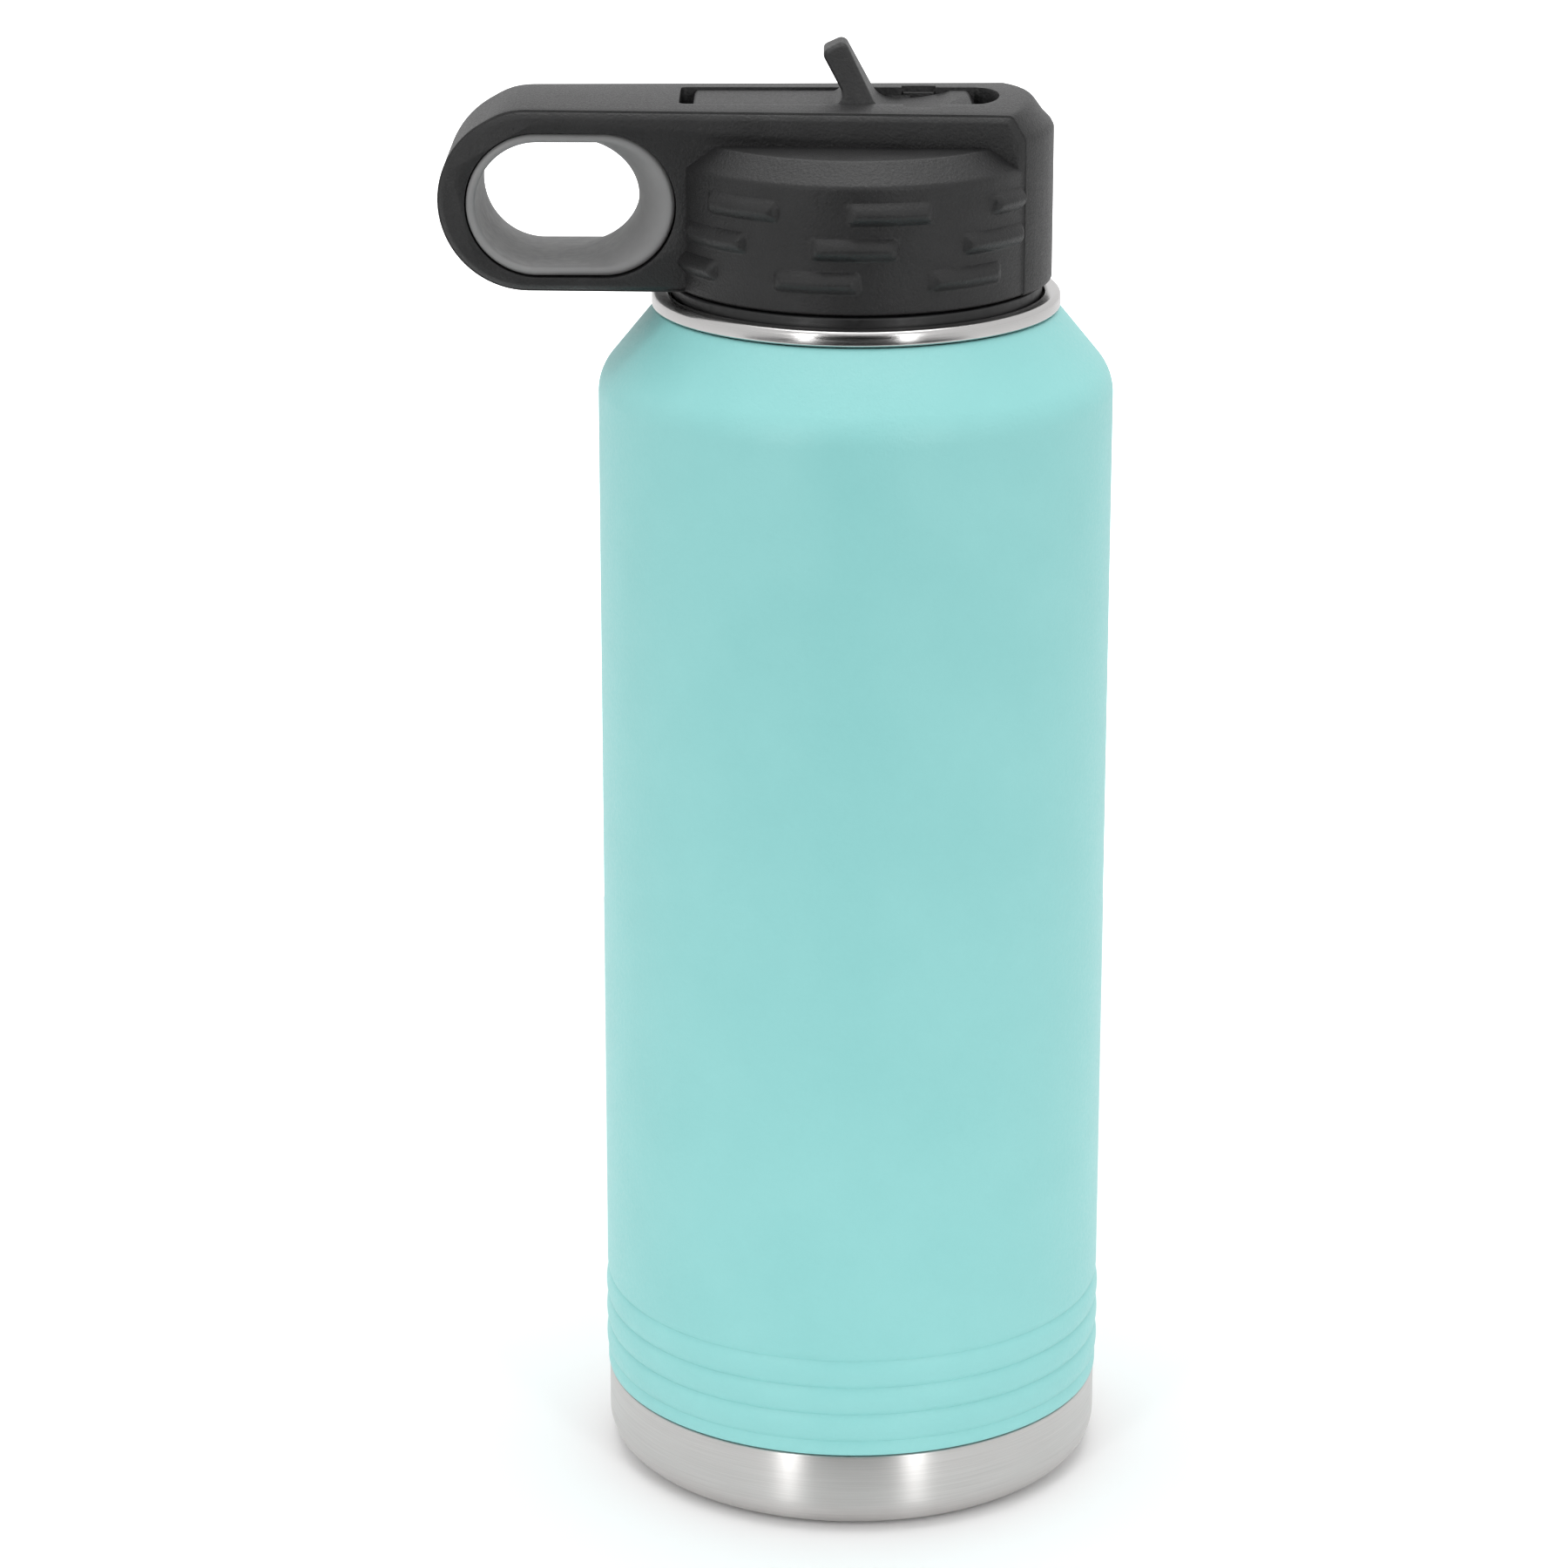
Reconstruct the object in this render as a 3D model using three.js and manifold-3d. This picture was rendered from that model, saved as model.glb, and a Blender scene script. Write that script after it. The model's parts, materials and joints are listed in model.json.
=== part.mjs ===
// Insulated water bottle with a screw-on carry lid and a flip-up drinking spout.
// Millimetres, +Z up. The origin is on the bottle's axis, on the surface it stands on.
// The carry loop points along -X and the spout turns about an axis parallel to Y.
import * as THREE from 'three';
import { mergeVertices } from 'three/addons/utils/BufferGeometryUtils.js';
import Module from 'manifold-3d';

const wasm = await Module();
wasm.setup();

// ---------------------------------------------------------------- driving dimensions
const GAP = 0.3;                 // clearance between touching pieces
const ROUND = 48;                // facets around the big turned pieces
const FINE = 24;                 // facets around the small turned pieces

const BODY_R = 45.5;             // outside of the painted body
const SHELL_WALL = 0.5;
const LINER_R = 40.5;            // outside of the inner liner
const LINER_WALL = 0.4;
const LINER_LOW_Z = 16;          // where the liner's tube meets its pressed bottom
const LINER_CONE_Z = 197.5;      // where the liner starts to narrow towards the neck
const LINER_CONE_TOP_Z = 206.5;
const PAINT_EDGE_Z = 15.2;       // top of the bare steel band
const SHOULDER_Z = 200.6;        // where the straight body ends
const SHOULDER_ARC_R = 9;
const SHOULDER_TILT = THREE.MathUtils.degToRad(39.2);   // cone angle off the vertical
const LIP_Z = 219;               // top of the steel mouth ring
const LIP_H = 2.8;
const LIP_R = 36;
const LIP_EDGE = 0.6;            // bevel at the mouth's inner edge
const LIP_CORNER_R = 0.9;        // rounding of the ring's outer edges
const NECK_R = 33;               // inside of the neck
const NECK_WALL = 0.7;

const RIB_CREASES_Z = [17.9, 23.1, 28.3, 33.5];
const RIB_CREASE_R = 45.15;
const RIB_CREST_R = 45.75;
const RIB_RUN_OUT = 1.6;         // height over which the last crease blends into the body
const SPIGOT_Z = 6.5;            // lower end of the outer wall, inside the base cup

const BASE_R = 45.3;
const BASE_WALL = 0.6;
const BASE_CORNER_R = 6;

const THREAD_PITCH = 4.5;
const THREAD_TURNS = 1;
const THREAD_STEPS = 28;         // facets in one turn of thread
const THREAD_ROOT_W = 2.2;       // axial width at the wall
const THREAD_CREST_W = 1.2;
const NECK_THREAD_Z = 210.4;     // middle of the neck thread's first end
const NECK_CREST_R = 31.1;
const PLUG_R = 30.6;
const PLUG_CREST_R = 32.5;

const CAP_Z = 221;               // underside of the lid
const CAP_R = 33;
const CAP_SHOULDER_Z = 243;      // lower edge of the cap's chamfer
const CAP_TOP_Z = 246.8;
const CAP_TOP_R = 28.5;
const CAP_WALL = 2;

const GRIP_ROWS = [              // height of each row and how far its middle bar is turned
  { z: 238.4, turn: 9.9 },
  { z: 232.3, turn: -0.9 },
  { z: 226.6, turn: -12.4 },
];
const GRIP_SIDES = [-90, 90];    // the front and the back of the cap
const GRIP_STEPS = [-1, 0, 1];   // bars of one side, counted from its middle bar
const GRIP_PITCH = 47.1;         // degrees from bar to bar
const GRIP_SPAN = THREE.MathUtils.degToRad(26.6);
const GRIP_H = 3.9;
const GRIP_PROUD = 1.3;
const GRIP_EDGE = 0.9;           // height of the chamfer along a bar's long edges
const GRIP_FOOT = 0.3;           // how far the chamfer's foot stands off the cap

const BAR_TOP_Z = 252.3;         // edge of the carry bar's top
const BAR_CROWN = 0.8;           // rise of the top at its middle line
const BAR_LOOP_HALF = 13.2;      // half the bar's thickness at the loop
const BAR_END_HALF = 17.2;       // and at the other end
const BAR_END_X = 34.4;
const BAR_CORNER_X = 28.4;
const BAR_END_CHAMFER = 4;
const LOOP_R = (BAR_TOP_Z - CAP_Z) / 2;
const LOOP_TIP_X = -72.5;
const LOOP_CENTRE_Z = CAP_Z + LOOP_R;
const BAR_ROOM = { left: -25, right: 29.8, below: 2.6, half: 12, chamfer: 3 };   // hollow inside

const HOLE_R = 12.65;            // the finger hole that the grip insert lines
const HOLE_Z = 236.15;
const HOLE_LEFT_X = -67.8;
const HOLE_RIGHT_X = -31.1;
const INSERT_WALL = 1.8;
const INSERT_HALF = 13.5;        // half the insert's depth
const INSERT_HUMP = 5;           // how far the finger rest swells inwards
const INSERT_REST_X = -51.5;     // where the oval of the finger rest starts
const INSERT_DEPTHS = [-1, -0.85, -0.6, 0, 0.6, 0.85, 1];   // rings across the insert
const INSERT_SWELL = 3.5;        // how abruptly the rest rises from the insert's rims

const PIVOT_X = 10.9;
const PIVOT_Z = 246.2;
const ROTOR_R = 10.6;
const POCKET_R = 11.2;
const SLOT_HALF = 8.2;
const SLOT_LEFT_X = -30.8;
const SLOT_CORNER_R = 1.2;
const SLOT_BEND_X = 20.6;        // where the slot's oval right end starts
const SLOT_RIGHT_X = 24.8;
const SLOT_FLOOR_Z = 242.4;
const TROUGH_WALL = 2;           // wall around the slot and the rotor's pocket
const SPOUT_HALF = 7.8;
const SPOUT_LEFT_X = -28.5;
const SPOUT_BOTTOM_Z = 243;
const SPOUT_TOP_Z = 252.5;
const SPOUT_CORNER = 1.2;
const SCOOP_LEFT_X = 2;          // the finger scoop between the tab and the rotor
const SCOOP_DEEP_X = 7.5;
const SCOOP_RIGHT_X = 16.5;
const SCOOP_PULL = 2.6;          // twice the scoop's depth
const FACET_START = { x: 14.4, tilt: 17.8, turn: -25 };   // slanted cut over the rotor's front
const SPOUT_BORE_R = 2.5;
const TRUNNION_R = 2.6;
const TRUNNION_HALF = 10.2;
const KEEPER_W = 6;
const TAB_TIP_Z = 263.4;
const TAB_TIP_HALF = 3.5;
const TAB_FOOT_LEFT_X = -3.6;
const TAB_FOOT_RIGHT_X = 6.4;
const TAB_FOOT_DEPTH = 1.6;      // how far the tab's right foot runs down into the scoop

const PLUG_Z = 203.5;
const PLUG_TOP_Z = 228;
const PLUG_FLOOR = 2.2;
const PLUG_BORE_R = 28.6;
const ADAPTER_R = 4.6;
const STRAW_R = 3.5;
const STRAW_WALL = 0.8;
const STRAW_Z = 13.5;
const ADAPTER_Z = 194;           // lower end of the socket that holds the straw
const FLANGE_H = 1.2;
const VENT_X = -14;
const VENT_HOLE_R = 2.3;
const SEAL_R = 6;
const SEAL_RISE = 1.7;           // how far the seal wraps up around the rotor
const BOSS_R = 8.6;
const FOAM_H = 14;
const GASKET_Z = 217.3;          // lower edge of the lid's silicone ring
const GASKET_LIP = 0.8;

const LINER_BOTTOM_Z = 9.5;
const LINER_CORNER_R = 5;
const VACUUM_PLATE = { radius: 43.3, low: 3, high: 12, wall: 0.6, corner: 3, facets: 40 };
const VACUUM_DOME = { foot: 6.5, top: 5, rise: 1.6 };   // raised middle with the evacuation hole
const VACUUM_HOLE_R = 0.9;
const SEALING_BEAD = [[0, 3.1], [3, 3.1], [4, 3.6], [3.6, 4.3], [0, 4.3]];
const GETTER_X = 20;
const GETTER_CLIP = { inner: 3.6, outer: 6.4, low: 3.9, high: 4.5 };
const GETTER_PELLET = { radius: 5, low: 4.8, high: 7 };

// ---------------------------------------------------------------- colours and finishes
function finish(color, roughness, metalness) {
  return new THREE.MeshStandardMaterial({ color, roughness, metalness });
}

const TEAL_POWDER = finish(0x98d7d2, 0.5, 0);
const BRUSHED_STEEL = finish(0xc9c8c6, 0.35, 1);
const PLAIN_STEEL = finish(0xb9b8b5, 0.45, 1);
const BLACK_PLASTIC = finish(0x262627, 0.55, 0);
const BLACK_SILICONE = finish(0x161617, 0.6, 0);
const GREY_GRIP = finish(0x8c8c8c, 0.7, 0);
const CLEAR_SILICONE = finish(0xd9dcda, 0.5, 0);
const CLEAR_STRAW = finish(0xdfe6e6, 0.3, 0);
const WHITE_FOAM = finish(0xf0efea, 0.9, 0);
const SEAL_GLASS = finish(0x3a4038, 0.2, 0);
const GETTER_GREY = finish(0x6a6a68, 0.7, 0.6);

// ---------------------------------------------------------------- solids
function toSolid(geometry) {
  const bare = geometry.index ? geometry.clone() : geometry;
  bare.deleteAttribute('normal');
  bare.deleteAttribute('uv');
  const joined = mergeVertices(bare, 1e-4);
  return new wasm.Manifold(new wasm.Mesh({
    numProp: 3,
    vertProperties: new Float32Array(joined.attributes.position.array),
    triVerts: new Uint32Array(joined.index.array),
  }));
}

function toGeometry(solid) {
  const mesh = solid.getMesh();
  const geometry = new THREE.BufferGeometry();
  geometry.setAttribute('position', new THREE.BufferAttribute(mesh.vertProperties, 3));
  geometry.setIndex(new THREE.BufferAttribute(mesh.triVerts, 1));
  geometry.computeVertexNormals();
  return geometry;
}

// A solid of revolution about Z. The [radius, z] points run up the outside and back down.
function turned(points, facets = ROUND) {
  const closed = [...points, points[0]];
  const profile = closed.map(([r, z]) => new THREE.Vector2(r, z));
  return new THREE.LatheGeometry(profile, facets).rotateX(Math.PI / 2);
}

// A disc or a rod: its profile starts and ends on the axis.
function turnedRod(points, facets = FINE) {
  const profile = points.map(([r, z]) => new THREE.Vector2(r, z));
  return new THREE.LatheGeometry(profile, facets).rotateX(Math.PI / 2);
}

function pipe(inner, outer, low, high, facets = FINE) {
  return turned([[outer, low], [outer, high], [inner, high], [inner, low]], facets);
}

function rod(radius, low, high, facets = FINE) {
  return turnedRod([[0, low], [radius, low], [radius, high], [0, high]], facets);
}

// A shape drawn in X and Z, made solid from y = -half to y = +half.
function plateXZ(shape, half, curveSegments = 12) {
  const options = { depth: 2 * half, bevelEnabled: false, curveSegments };
  return new THREE.ExtrudeGeometry(shape, options).rotateX(Math.PI / 2).translate(0, half, 0);
}

// A shape drawn in X and Y, made solid between two heights.
function plateXY(shape, low, high, curveSegments = 12) {
  const options = { depth: high - low, bevelEnabled: false, curveSegments };
  return new THREE.ExtrudeGeometry(shape, options).translate(0, 0, low);
}

function block(x0, x1, y0, y1, z0, z1) {
  return new THREE.BoxGeometry(x1 - x0, y1 - y0, z1 - z0)
    .translate((x0 + x1) / 2, (y0 + y1) / 2, (z0 + z1) / 2);
}

function crossRod(radius, half, x, z, facets = FINE) {
  return rod(radius, -half, half, facets).rotateX(Math.PI / 2).translate(x, 0, z);
}

function arcPoints(centreR, centreZ, radius, from, to, steps) {
  return Array.from({ length: steps + 1 }, (_, i) => {
    const angle = from + ((to - from) * i) / steps;
    return [centreR + radius * Math.cos(angle), centreZ + radius * Math.sin(angle)];
  });
}

// One turn or more of right-handed thread ridge, tapered to nothing at both ends.
function threadRidge(rootR, crestR, startZ) {
  const steps = Math.round(THREAD_STEPS * THREAD_TURNS);
  const positions = [];
  const faces = [];
  for (let i = 0; i <= steps; i += 1) {
    const angle = (i / THREAD_STEPS) * 2 * Math.PI;
    const z = startZ + (i / THREAD_STEPS) * THREAD_PITCH;
    const fade = Math.min(1, Math.min(i, steps - i) / 3 + 0.15);
    const crest = rootR + (crestR - rootR) * fade;
    const sunk = rootR - Math.sign(crestR - rootR) * GAP;
    const corners = [[sunk, -THREAD_ROOT_W], [crest, -THREAD_CREST_W], [crest, THREAD_CREST_W],
      [sunk, THREAD_ROOT_W]];
    for (const [r, width] of corners) {
      positions.push(r * Math.cos(angle), r * Math.sin(angle), z + width / 2);
    }
  }
  const inward = crestR < rootR;
  const push = (a, b, c) => faces.push(...(inward ? [a, b, c] : [a, c, b]));
  for (let i = 0; i < steps; i += 1) {
    for (let k = 0; k < 4; k += 1) {
      const a = 4 * i + k;
      const b = 4 * i + ((k + 1) % 4);
      push(a, b, a + 4);
      push(b, b + 4, a + 4);
    }
  }
  const last = 4 * steps;
  push(0, 2, 1);
  push(0, 3, 2);
  push(last, last + 1, last + 2);
  push(last, last + 2, last + 3);
  const geometry = new THREE.BufferGeometry();
  geometry.setAttribute('position', new THREE.Float32BufferAttribute(positions, 3));
  geometry.setIndex(faces);
  return geometry;
}

const group = new THREE.Group();

function addPiece(name, shape, material) {
  const geometry = shape instanceof THREE.BufferGeometry ? shape : toGeometry(shape);
  const mesh = new THREE.Mesh(geometry, material);
  mesh.name = name;
  group.add(mesh);
}

// ---------------------------------------------------------------- bottle
// The outer wall: a necked-in spigot, three shallow ribs and the straight body.
function outerShell() {
  const spigotR = BASE_R - BASE_WALL - GAP;
  const innerR = BODY_R - SHELL_WALL;
  const top = SHOULDER_Z - GAP;
  const ribs = ribProfile();
  return turned([
    [spigotR, SPIGOT_Z], [spigotR, PAINT_EDGE_Z], [BODY_R, PAINT_EDGE_Z], ...ribs,
    [BODY_R, top], [innerR, top], ...ribs.map(([r, z]) => [r - SHELL_WALL, z]).reverse(),
    [innerR, PAINT_EDGE_Z + SHELL_WALL], [spigotR - SHELL_WALL, PAINT_EDGE_Z + SHELL_WALL],
    [spigotR - SHELL_WALL, SPIGOT_Z],
  ]);
}

// The painted shoulder: a rounded edge and a cone that ends under the mouth ring.
function shoulderCone() {
  const arcCentreR = BODY_R - SHOULDER_ARC_R;
  const coneR = arcCentreR + SHOULDER_ARC_R * Math.cos(SHOULDER_TILT);
  const coneZ = SHOULDER_Z + SHOULDER_ARC_R * Math.sin(SHOULDER_TILT);
  const topZ = LIP_Z - LIP_H - GAP;
  const topR = coneR - (topZ - coneZ) * Math.tan(SHOULDER_TILT);
  const coneInset = SHELL_WALL * Math.cos(SHOULDER_TILT);
  const coneDrop = SHELL_WALL * Math.sin(SHOULDER_TILT);
  return turned([
    ...arcPoints(arcCentreR, SHOULDER_Z, SHOULDER_ARC_R, 0, SHOULDER_TILT, 4), [topR, topZ],
    [topR - SHELL_WALL / Math.cos(SHOULDER_TILT), topZ], [coneR - coneInset, coneZ - coneDrop],
    [BODY_R - SHELL_WALL, SHOULDER_Z],
  ]);
}

// Four creases with a crest between each two, ending on the straight body.
function ribProfile() {
  const points = [];
  RIB_CREASES_Z.forEach((z, i) => {
    points.push([RIB_CREASE_R, z]);
    const next = RIB_CREASES_Z[i + 1];
    points.push(next ? [RIB_CREST_R, (z + next) / 2] : [BODY_R, z + RIB_RUN_OUT]);
  });
  return points;
}

// The liner's tube and the cone that narrows it to the neck.
function innerLiner() {
  const neckOuter = NECK_R + NECK_WALL;
  const insideR = LINER_R - LINER_WALL;
  const top = LINER_CONE_TOP_Z - GAP;
  return turned([
    [LINER_R, LINER_LOW_Z], [LINER_R, LINER_CONE_Z], [neckOuter, top], [NECK_R, top],
    [insideR, LINER_CONE_Z - LINER_WALL], [insideR, LINER_LOW_Z],
  ]);
}

// The threaded neck and the thick ring that closes both walls.
function mouthRing() {
  const neckOuter = NECK_R + NECK_WALL;
  const cornerR = LIP_R - LIP_CORNER_R;
  const lowZ = LIP_Z - LIP_H + LIP_CORNER_R;
  const lip = [
    ...arcPoints(cornerR, lowZ, LIP_CORNER_R, -Math.PI / 2, 0, 3),
    ...arcPoints(cornerR, LIP_Z - LIP_CORNER_R, LIP_CORNER_R, 0, Math.PI / 2, 3),
  ];
  const ring = turned([
    [neckOuter, LINER_CONE_TOP_Z], [neckOuter, LIP_Z - LIP_H], ...lip,
    [NECK_R + LIP_EDGE, LIP_Z], [NECK_R, LIP_Z - LIP_EDGE], [NECK_R, LINER_CONE_TOP_Z],
  ]);
  return toSolid(ring).add(toSolid(threadRidge(NECK_R, NECK_CREST_R, NECK_THREAD_Z)));
}

// A shallow cup of sheet steel with a rounded corner, open at the top.
function sheetCup(outerR, low, high, wall, cornerR, facets = ROUND) {
  const outerCorner = arcPoints(outerR - cornerR, low + cornerR, cornerR, -Math.PI / 2, 0, 4);
  const innerCorner = arcPoints(outerR - cornerR, low + cornerR, cornerR - wall, 0, -Math.PI / 2, 3);
  return turnedRod([
    [0, low], ...outerCorner, [outerR, high], [outerR - wall, high], ...innerCorner,
    [0, low + wall],
  ], facets);
}

// The end plate of the vacuum space, with the raised evacuation hole in its middle.
function vacuumBottom() {
  const { radius, low, high, wall, corner, facets } = VACUUM_PLATE;
  const { foot, top, rise } = VACUUM_DOME;
  const cup = toSolid(sheetCup(radius, low, high, wall, corner, facets));
  const dimple = toSolid(turnedRod([[0, low - 1], [foot, low - 1], [top, low + rise],
    [0, low + rise]]));
  const raised = toSolid(turnedRod([[0, low], [foot + wall, low], [top + wall, low + rise + wall],
    [0, low + rise + wall]]));
  const hole = toSolid(rod(VACUUM_HOLE_R, low - 1, high));
  return cup.add(raised).subtract(dimple).subtract(hole);
}

function makeBottle() {
  const linerTop = LINER_LOW_Z - GAP;
  const linerBottom = sheetCup(LINER_R, LINER_BOTTOM_Z, linerTop, LINER_WALL, LINER_CORNER_R, 40);
  const baseCup = sheetCup(BASE_R, 0, PAINT_EDGE_Z - GAP, BASE_WALL, BASE_CORNER_R);
  const clip = pipe(GETTER_CLIP.inner, GETTER_CLIP.outer, GETTER_CLIP.low, GETTER_CLIP.high, 20);
  const pellet = rod(GETTER_PELLET.radius, GETTER_PELLET.low, GETTER_PELLET.high, 20);
  addPiece('outer_shell', outerShell(), TEAL_POWDER);
  addPiece('shoulder_cone', shoulderCone(), TEAL_POWDER);
  addPiece('inner_liner', innerLiner(), PLAIN_STEEL);
  addPiece('mouth_ring', mouthRing(), PLAIN_STEEL);
  addPiece('liner_bottom', linerBottom, PLAIN_STEEL);
  addPiece('vacuum_bottom', vacuumBottom(), PLAIN_STEEL);
  addPiece('base_cup', baseCup, BRUSHED_STEEL);
  addPiece('sealing_glass', turnedRod(SEALING_BEAD), SEAL_GLASS);
  addPiece('getter_clip', clip.translate(GETTER_X, 0, 0), PLAIN_STEEL);
  addPiece('getter_pellet', pellet.translate(GETTER_X, 0, 0), GETTER_GREY);
}

// ---------------------------------------------------------------- lid shell
// The bar's side view from a start shape that already holds its left end.
function closeBarSide(shape, low, high, rightX, chamfer) {
  shape.lineTo(rightX - chamfer, high);
  shape.lineTo(rightX, high - chamfer);
  shape.lineTo(rightX, low);
  shape.closePath();
  return shape;
}

// The outside: a half-round loop end, a straight top and a chamfered right end.
function barOutside() {
  const shape = new THREE.Shape();
  const centreX = LOOP_TIP_X + LOOP_R;
  shape.moveTo(centreX, CAP_Z);
  shape.absarc(centreX, LOOP_CENTRE_Z, LOOP_R, -Math.PI / 2, Math.PI / 2, true);
  shape.lineTo(centreX, BAR_TOP_Z + BAR_CROWN);
  return closeBarSide(shape, CAP_Z, BAR_TOP_Z + BAR_CROWN, BAR_END_X + 0.5, BAR_END_CHAMFER);
}

// The hollow inside, from the cap's open bottom to below the bar's top.
function barInside() {
  const shape = new THREE.Shape();
  const high = BAR_TOP_Z - BAR_ROOM.below;
  shape.moveTo(BAR_ROOM.left, CAP_Z - 1);
  shape.lineTo(BAR_ROOM.left, high);
  return closeBarSide(shape, CAP_Z - 1, high, BAR_ROOM.right, BAR_ROOM.chamfer);
}

// The bar's plan: thin at the loop, wider at the cap, with a bowed end.
function barPlan() {
  const leftX = LOOP_TIP_X - 1;
  const bowCentreX = BAR_END_X - bowRadius();
  const bow = Math.asin(BAR_END_HALF / bowRadius());
  const shape = new THREE.Shape();
  shape.moveTo(leftX, -BAR_LOOP_HALF);
  shape.lineTo(BAR_CORNER_X, -BAR_END_HALF);
  shape.absarc(bowCentreX, 0, bowRadius(), -bow, bow, false);
  shape.lineTo(leftX, BAR_LOOP_HALF);
  shape.closePath();
  return shape;
}

// Radius of the arc through the two end corners and the end's middle.
function bowRadius() {
  const sag = BAR_END_X - BAR_CORNER_X;
  return (BAR_END_HALF ** 2 + sag ** 2) / (2 * sag);
}

// A long cylinder whose top surface is the bar's crowned top.
function crownCutter() {
  const radius = (BAR_END_HALF ** 2 + BAR_CROWN ** 2) / (2 * BAR_CROWN);
  const facets = 240;
  return rod(radius, LOOP_TIP_X - 1, BAR_END_X + 1, facets).rotateY(Math.PI / 2)
    .translate(0, 0, BAR_TOP_Z + BAR_CROWN - radius);
}

function barSolid() {
  const side = toSolid(plateXZ(barOutside(), BAR_END_HALF + 1, 20));
  const plan = toSolid(plateXY(barPlan(), CAP_Z - 1, BAR_TOP_Z + 2, 10));
  return side.intersect(plan).intersect(toSolid(crownCutter()));
}

function capSolid() {
  const cap = toSolid(turnedRod([[0, CAP_Z], [CAP_R, CAP_Z], [CAP_R, CAP_SHOULDER_Z],
    [CAP_TOP_R, CAP_TOP_Z], [0, CAP_TOP_Z]], ROUND));
  const grips = [];
  for (const row of GRIP_ROWS) {
    for (const side of GRIP_SIDES) {
      for (const step of GRIP_STEPS) {
        const middle = THREE.MathUtils.degToRad(side + row.turn + step * GRIP_PITCH);
        grips.push(toSolid(gripBar(middle, row.z)));
      }
    }
  }
  const endFace = toSolid(block(0, BAR_END_X + 1, -BAR_END_HALF, BAR_END_HALF, CAP_Z - 1, BAR_TOP_Z));
  const ring = grips.reduce((solid, grip) => solid.add(grip));
  return cap.add(ring.subtract(endFace));
}

// One raised bar: an arc of the cap's side with its long edges chamfered.
function gripBar(middle, z) {
  const inner = CAP_R - 1;
  const outer = CAP_R + GRIP_PROUD;
  const steps = 4;
  const foot = CAP_R + GRIP_FOOT;
  const section = [[inner, -GRIP_H / 2], [foot, -GRIP_H / 2], [outer, -GRIP_H / 2 + GRIP_EDGE],
    [outer, GRIP_H / 2 - GRIP_EDGE], [foot, GRIP_H / 2], [inner, GRIP_H / 2]];
  const positions = [];
  const faces = [];
  const count = section.length;
  for (let i = 0; i <= steps; i += 1) {
    const angle = middle + GRIP_SPAN * (i / steps - 0.5);
    for (const [r, h] of section) {
      positions.push(r * Math.cos(angle), r * Math.sin(angle), z + h);
    }
  }
  for (let i = 0; i < steps; i += 1) {
    for (let k = 0; k < count; k += 1) {
      const a = count * i + k;
      const b = count * i + ((k + 1) % count);
      faces.push(a, a + count, b, b, a + count, b + count);
    }
  }
  const last = count * steps;
  for (let k = 1; k < count - 1; k += 1) {
    faces.push(0, k, k + 1);
    faces.push(last, last + k + 1, last + k);
  }
  const geometry = new THREE.BufferGeometry();
  geometry.setAttribute('position', new THREE.Float32BufferAttribute(positions, 3));
  geometry.setIndex(faces);
  return geometry;
}

function stadium(grow) {
  const shape = new THREE.Shape();
  const radius = HOLE_R + grow;
  const left = HOLE_LEFT_X + HOLE_R;
  const right = HOLE_RIGHT_X - HOLE_R;
  shape.moveTo(right, HOLE_Z - radius);
  shape.absarc(right, HOLE_Z, radius, -Math.PI / 2, Math.PI / 2, false);
  shape.absarc(left, HOLE_Z, radius, Math.PI / 2, 1.5 * Math.PI, false);
  shape.closePath();
  return shape;
}

// The slot that the spout lies in: rounded corners at its left, an oval right end.
function slotSolid() {
  const shape = new THREE.Shape();
  const cornerX = SLOT_LEFT_X + SLOT_CORNER_R;
  const cornerY = SLOT_HALF - SLOT_CORNER_R;
  shape.moveTo(cornerX, -SLOT_HALF);
  shape.lineTo(SLOT_BEND_X, -SLOT_HALF);
  shape.absellipse(SLOT_BEND_X, 0, SLOT_RIGHT_X - SLOT_BEND_X, SLOT_HALF, -Math.PI / 2, Math.PI / 2,
    false, 0);
  shape.lineTo(cornerX, SLOT_HALF);
  shape.quadraticCurveTo(SLOT_LEFT_X, SLOT_HALF, SLOT_LEFT_X, cornerY);
  shape.lineTo(SLOT_LEFT_X, -cornerY);
  shape.quadraticCurveTo(SLOT_LEFT_X, -SLOT_HALF, cornerX, -SLOT_HALF);
  const trough = toSolid(plateXY(shape, SLOT_FLOOR_Z, BAR_TOP_Z + 3, 8));
  const rotorRoom = toSolid(crossRod(POCKET_R, SLOT_HALF, PIVOT_X, PIVOT_Z, 40));
  return trough.add(rotorRoom);
}

// Bearing holes beside the pivot and the keyways that let the trunnions drop in.
function bearingCuts() {
  const bore = toSolid(crossRod(TRUNNION_R + GAP, TRUNNION_HALF + GAP, PIVOT_X, PIVOT_Z));
  const keyway = toSolid(block(PIVOT_X - KEEPER_W / 2, PIVOT_X + KEEPER_W / 2,
    -TRUNNION_HALF - GAP, TRUNNION_HALF + GAP, PIVOT_Z, BAR_TOP_Z + 3));
  return bore.add(keyway);
}

// The room under the cap's wall, round and then narrowing with the chamfer.
function capRoom() {
  const roomR = CAP_R - CAP_WALL;
  const top = CAP_TOP_Z - 1.3 * CAP_WALL;
  const slopeZ = CAP_SHOULDER_Z - 1.2 * CAP_WALL;
  return toSolid(turnedRod([[0, CAP_Z - 1], [roomR, CAP_Z - 1], [roomR, slopeZ],
    [CAP_TOP_R - CAP_WALL, top], [0, top]], 40));
}

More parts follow.
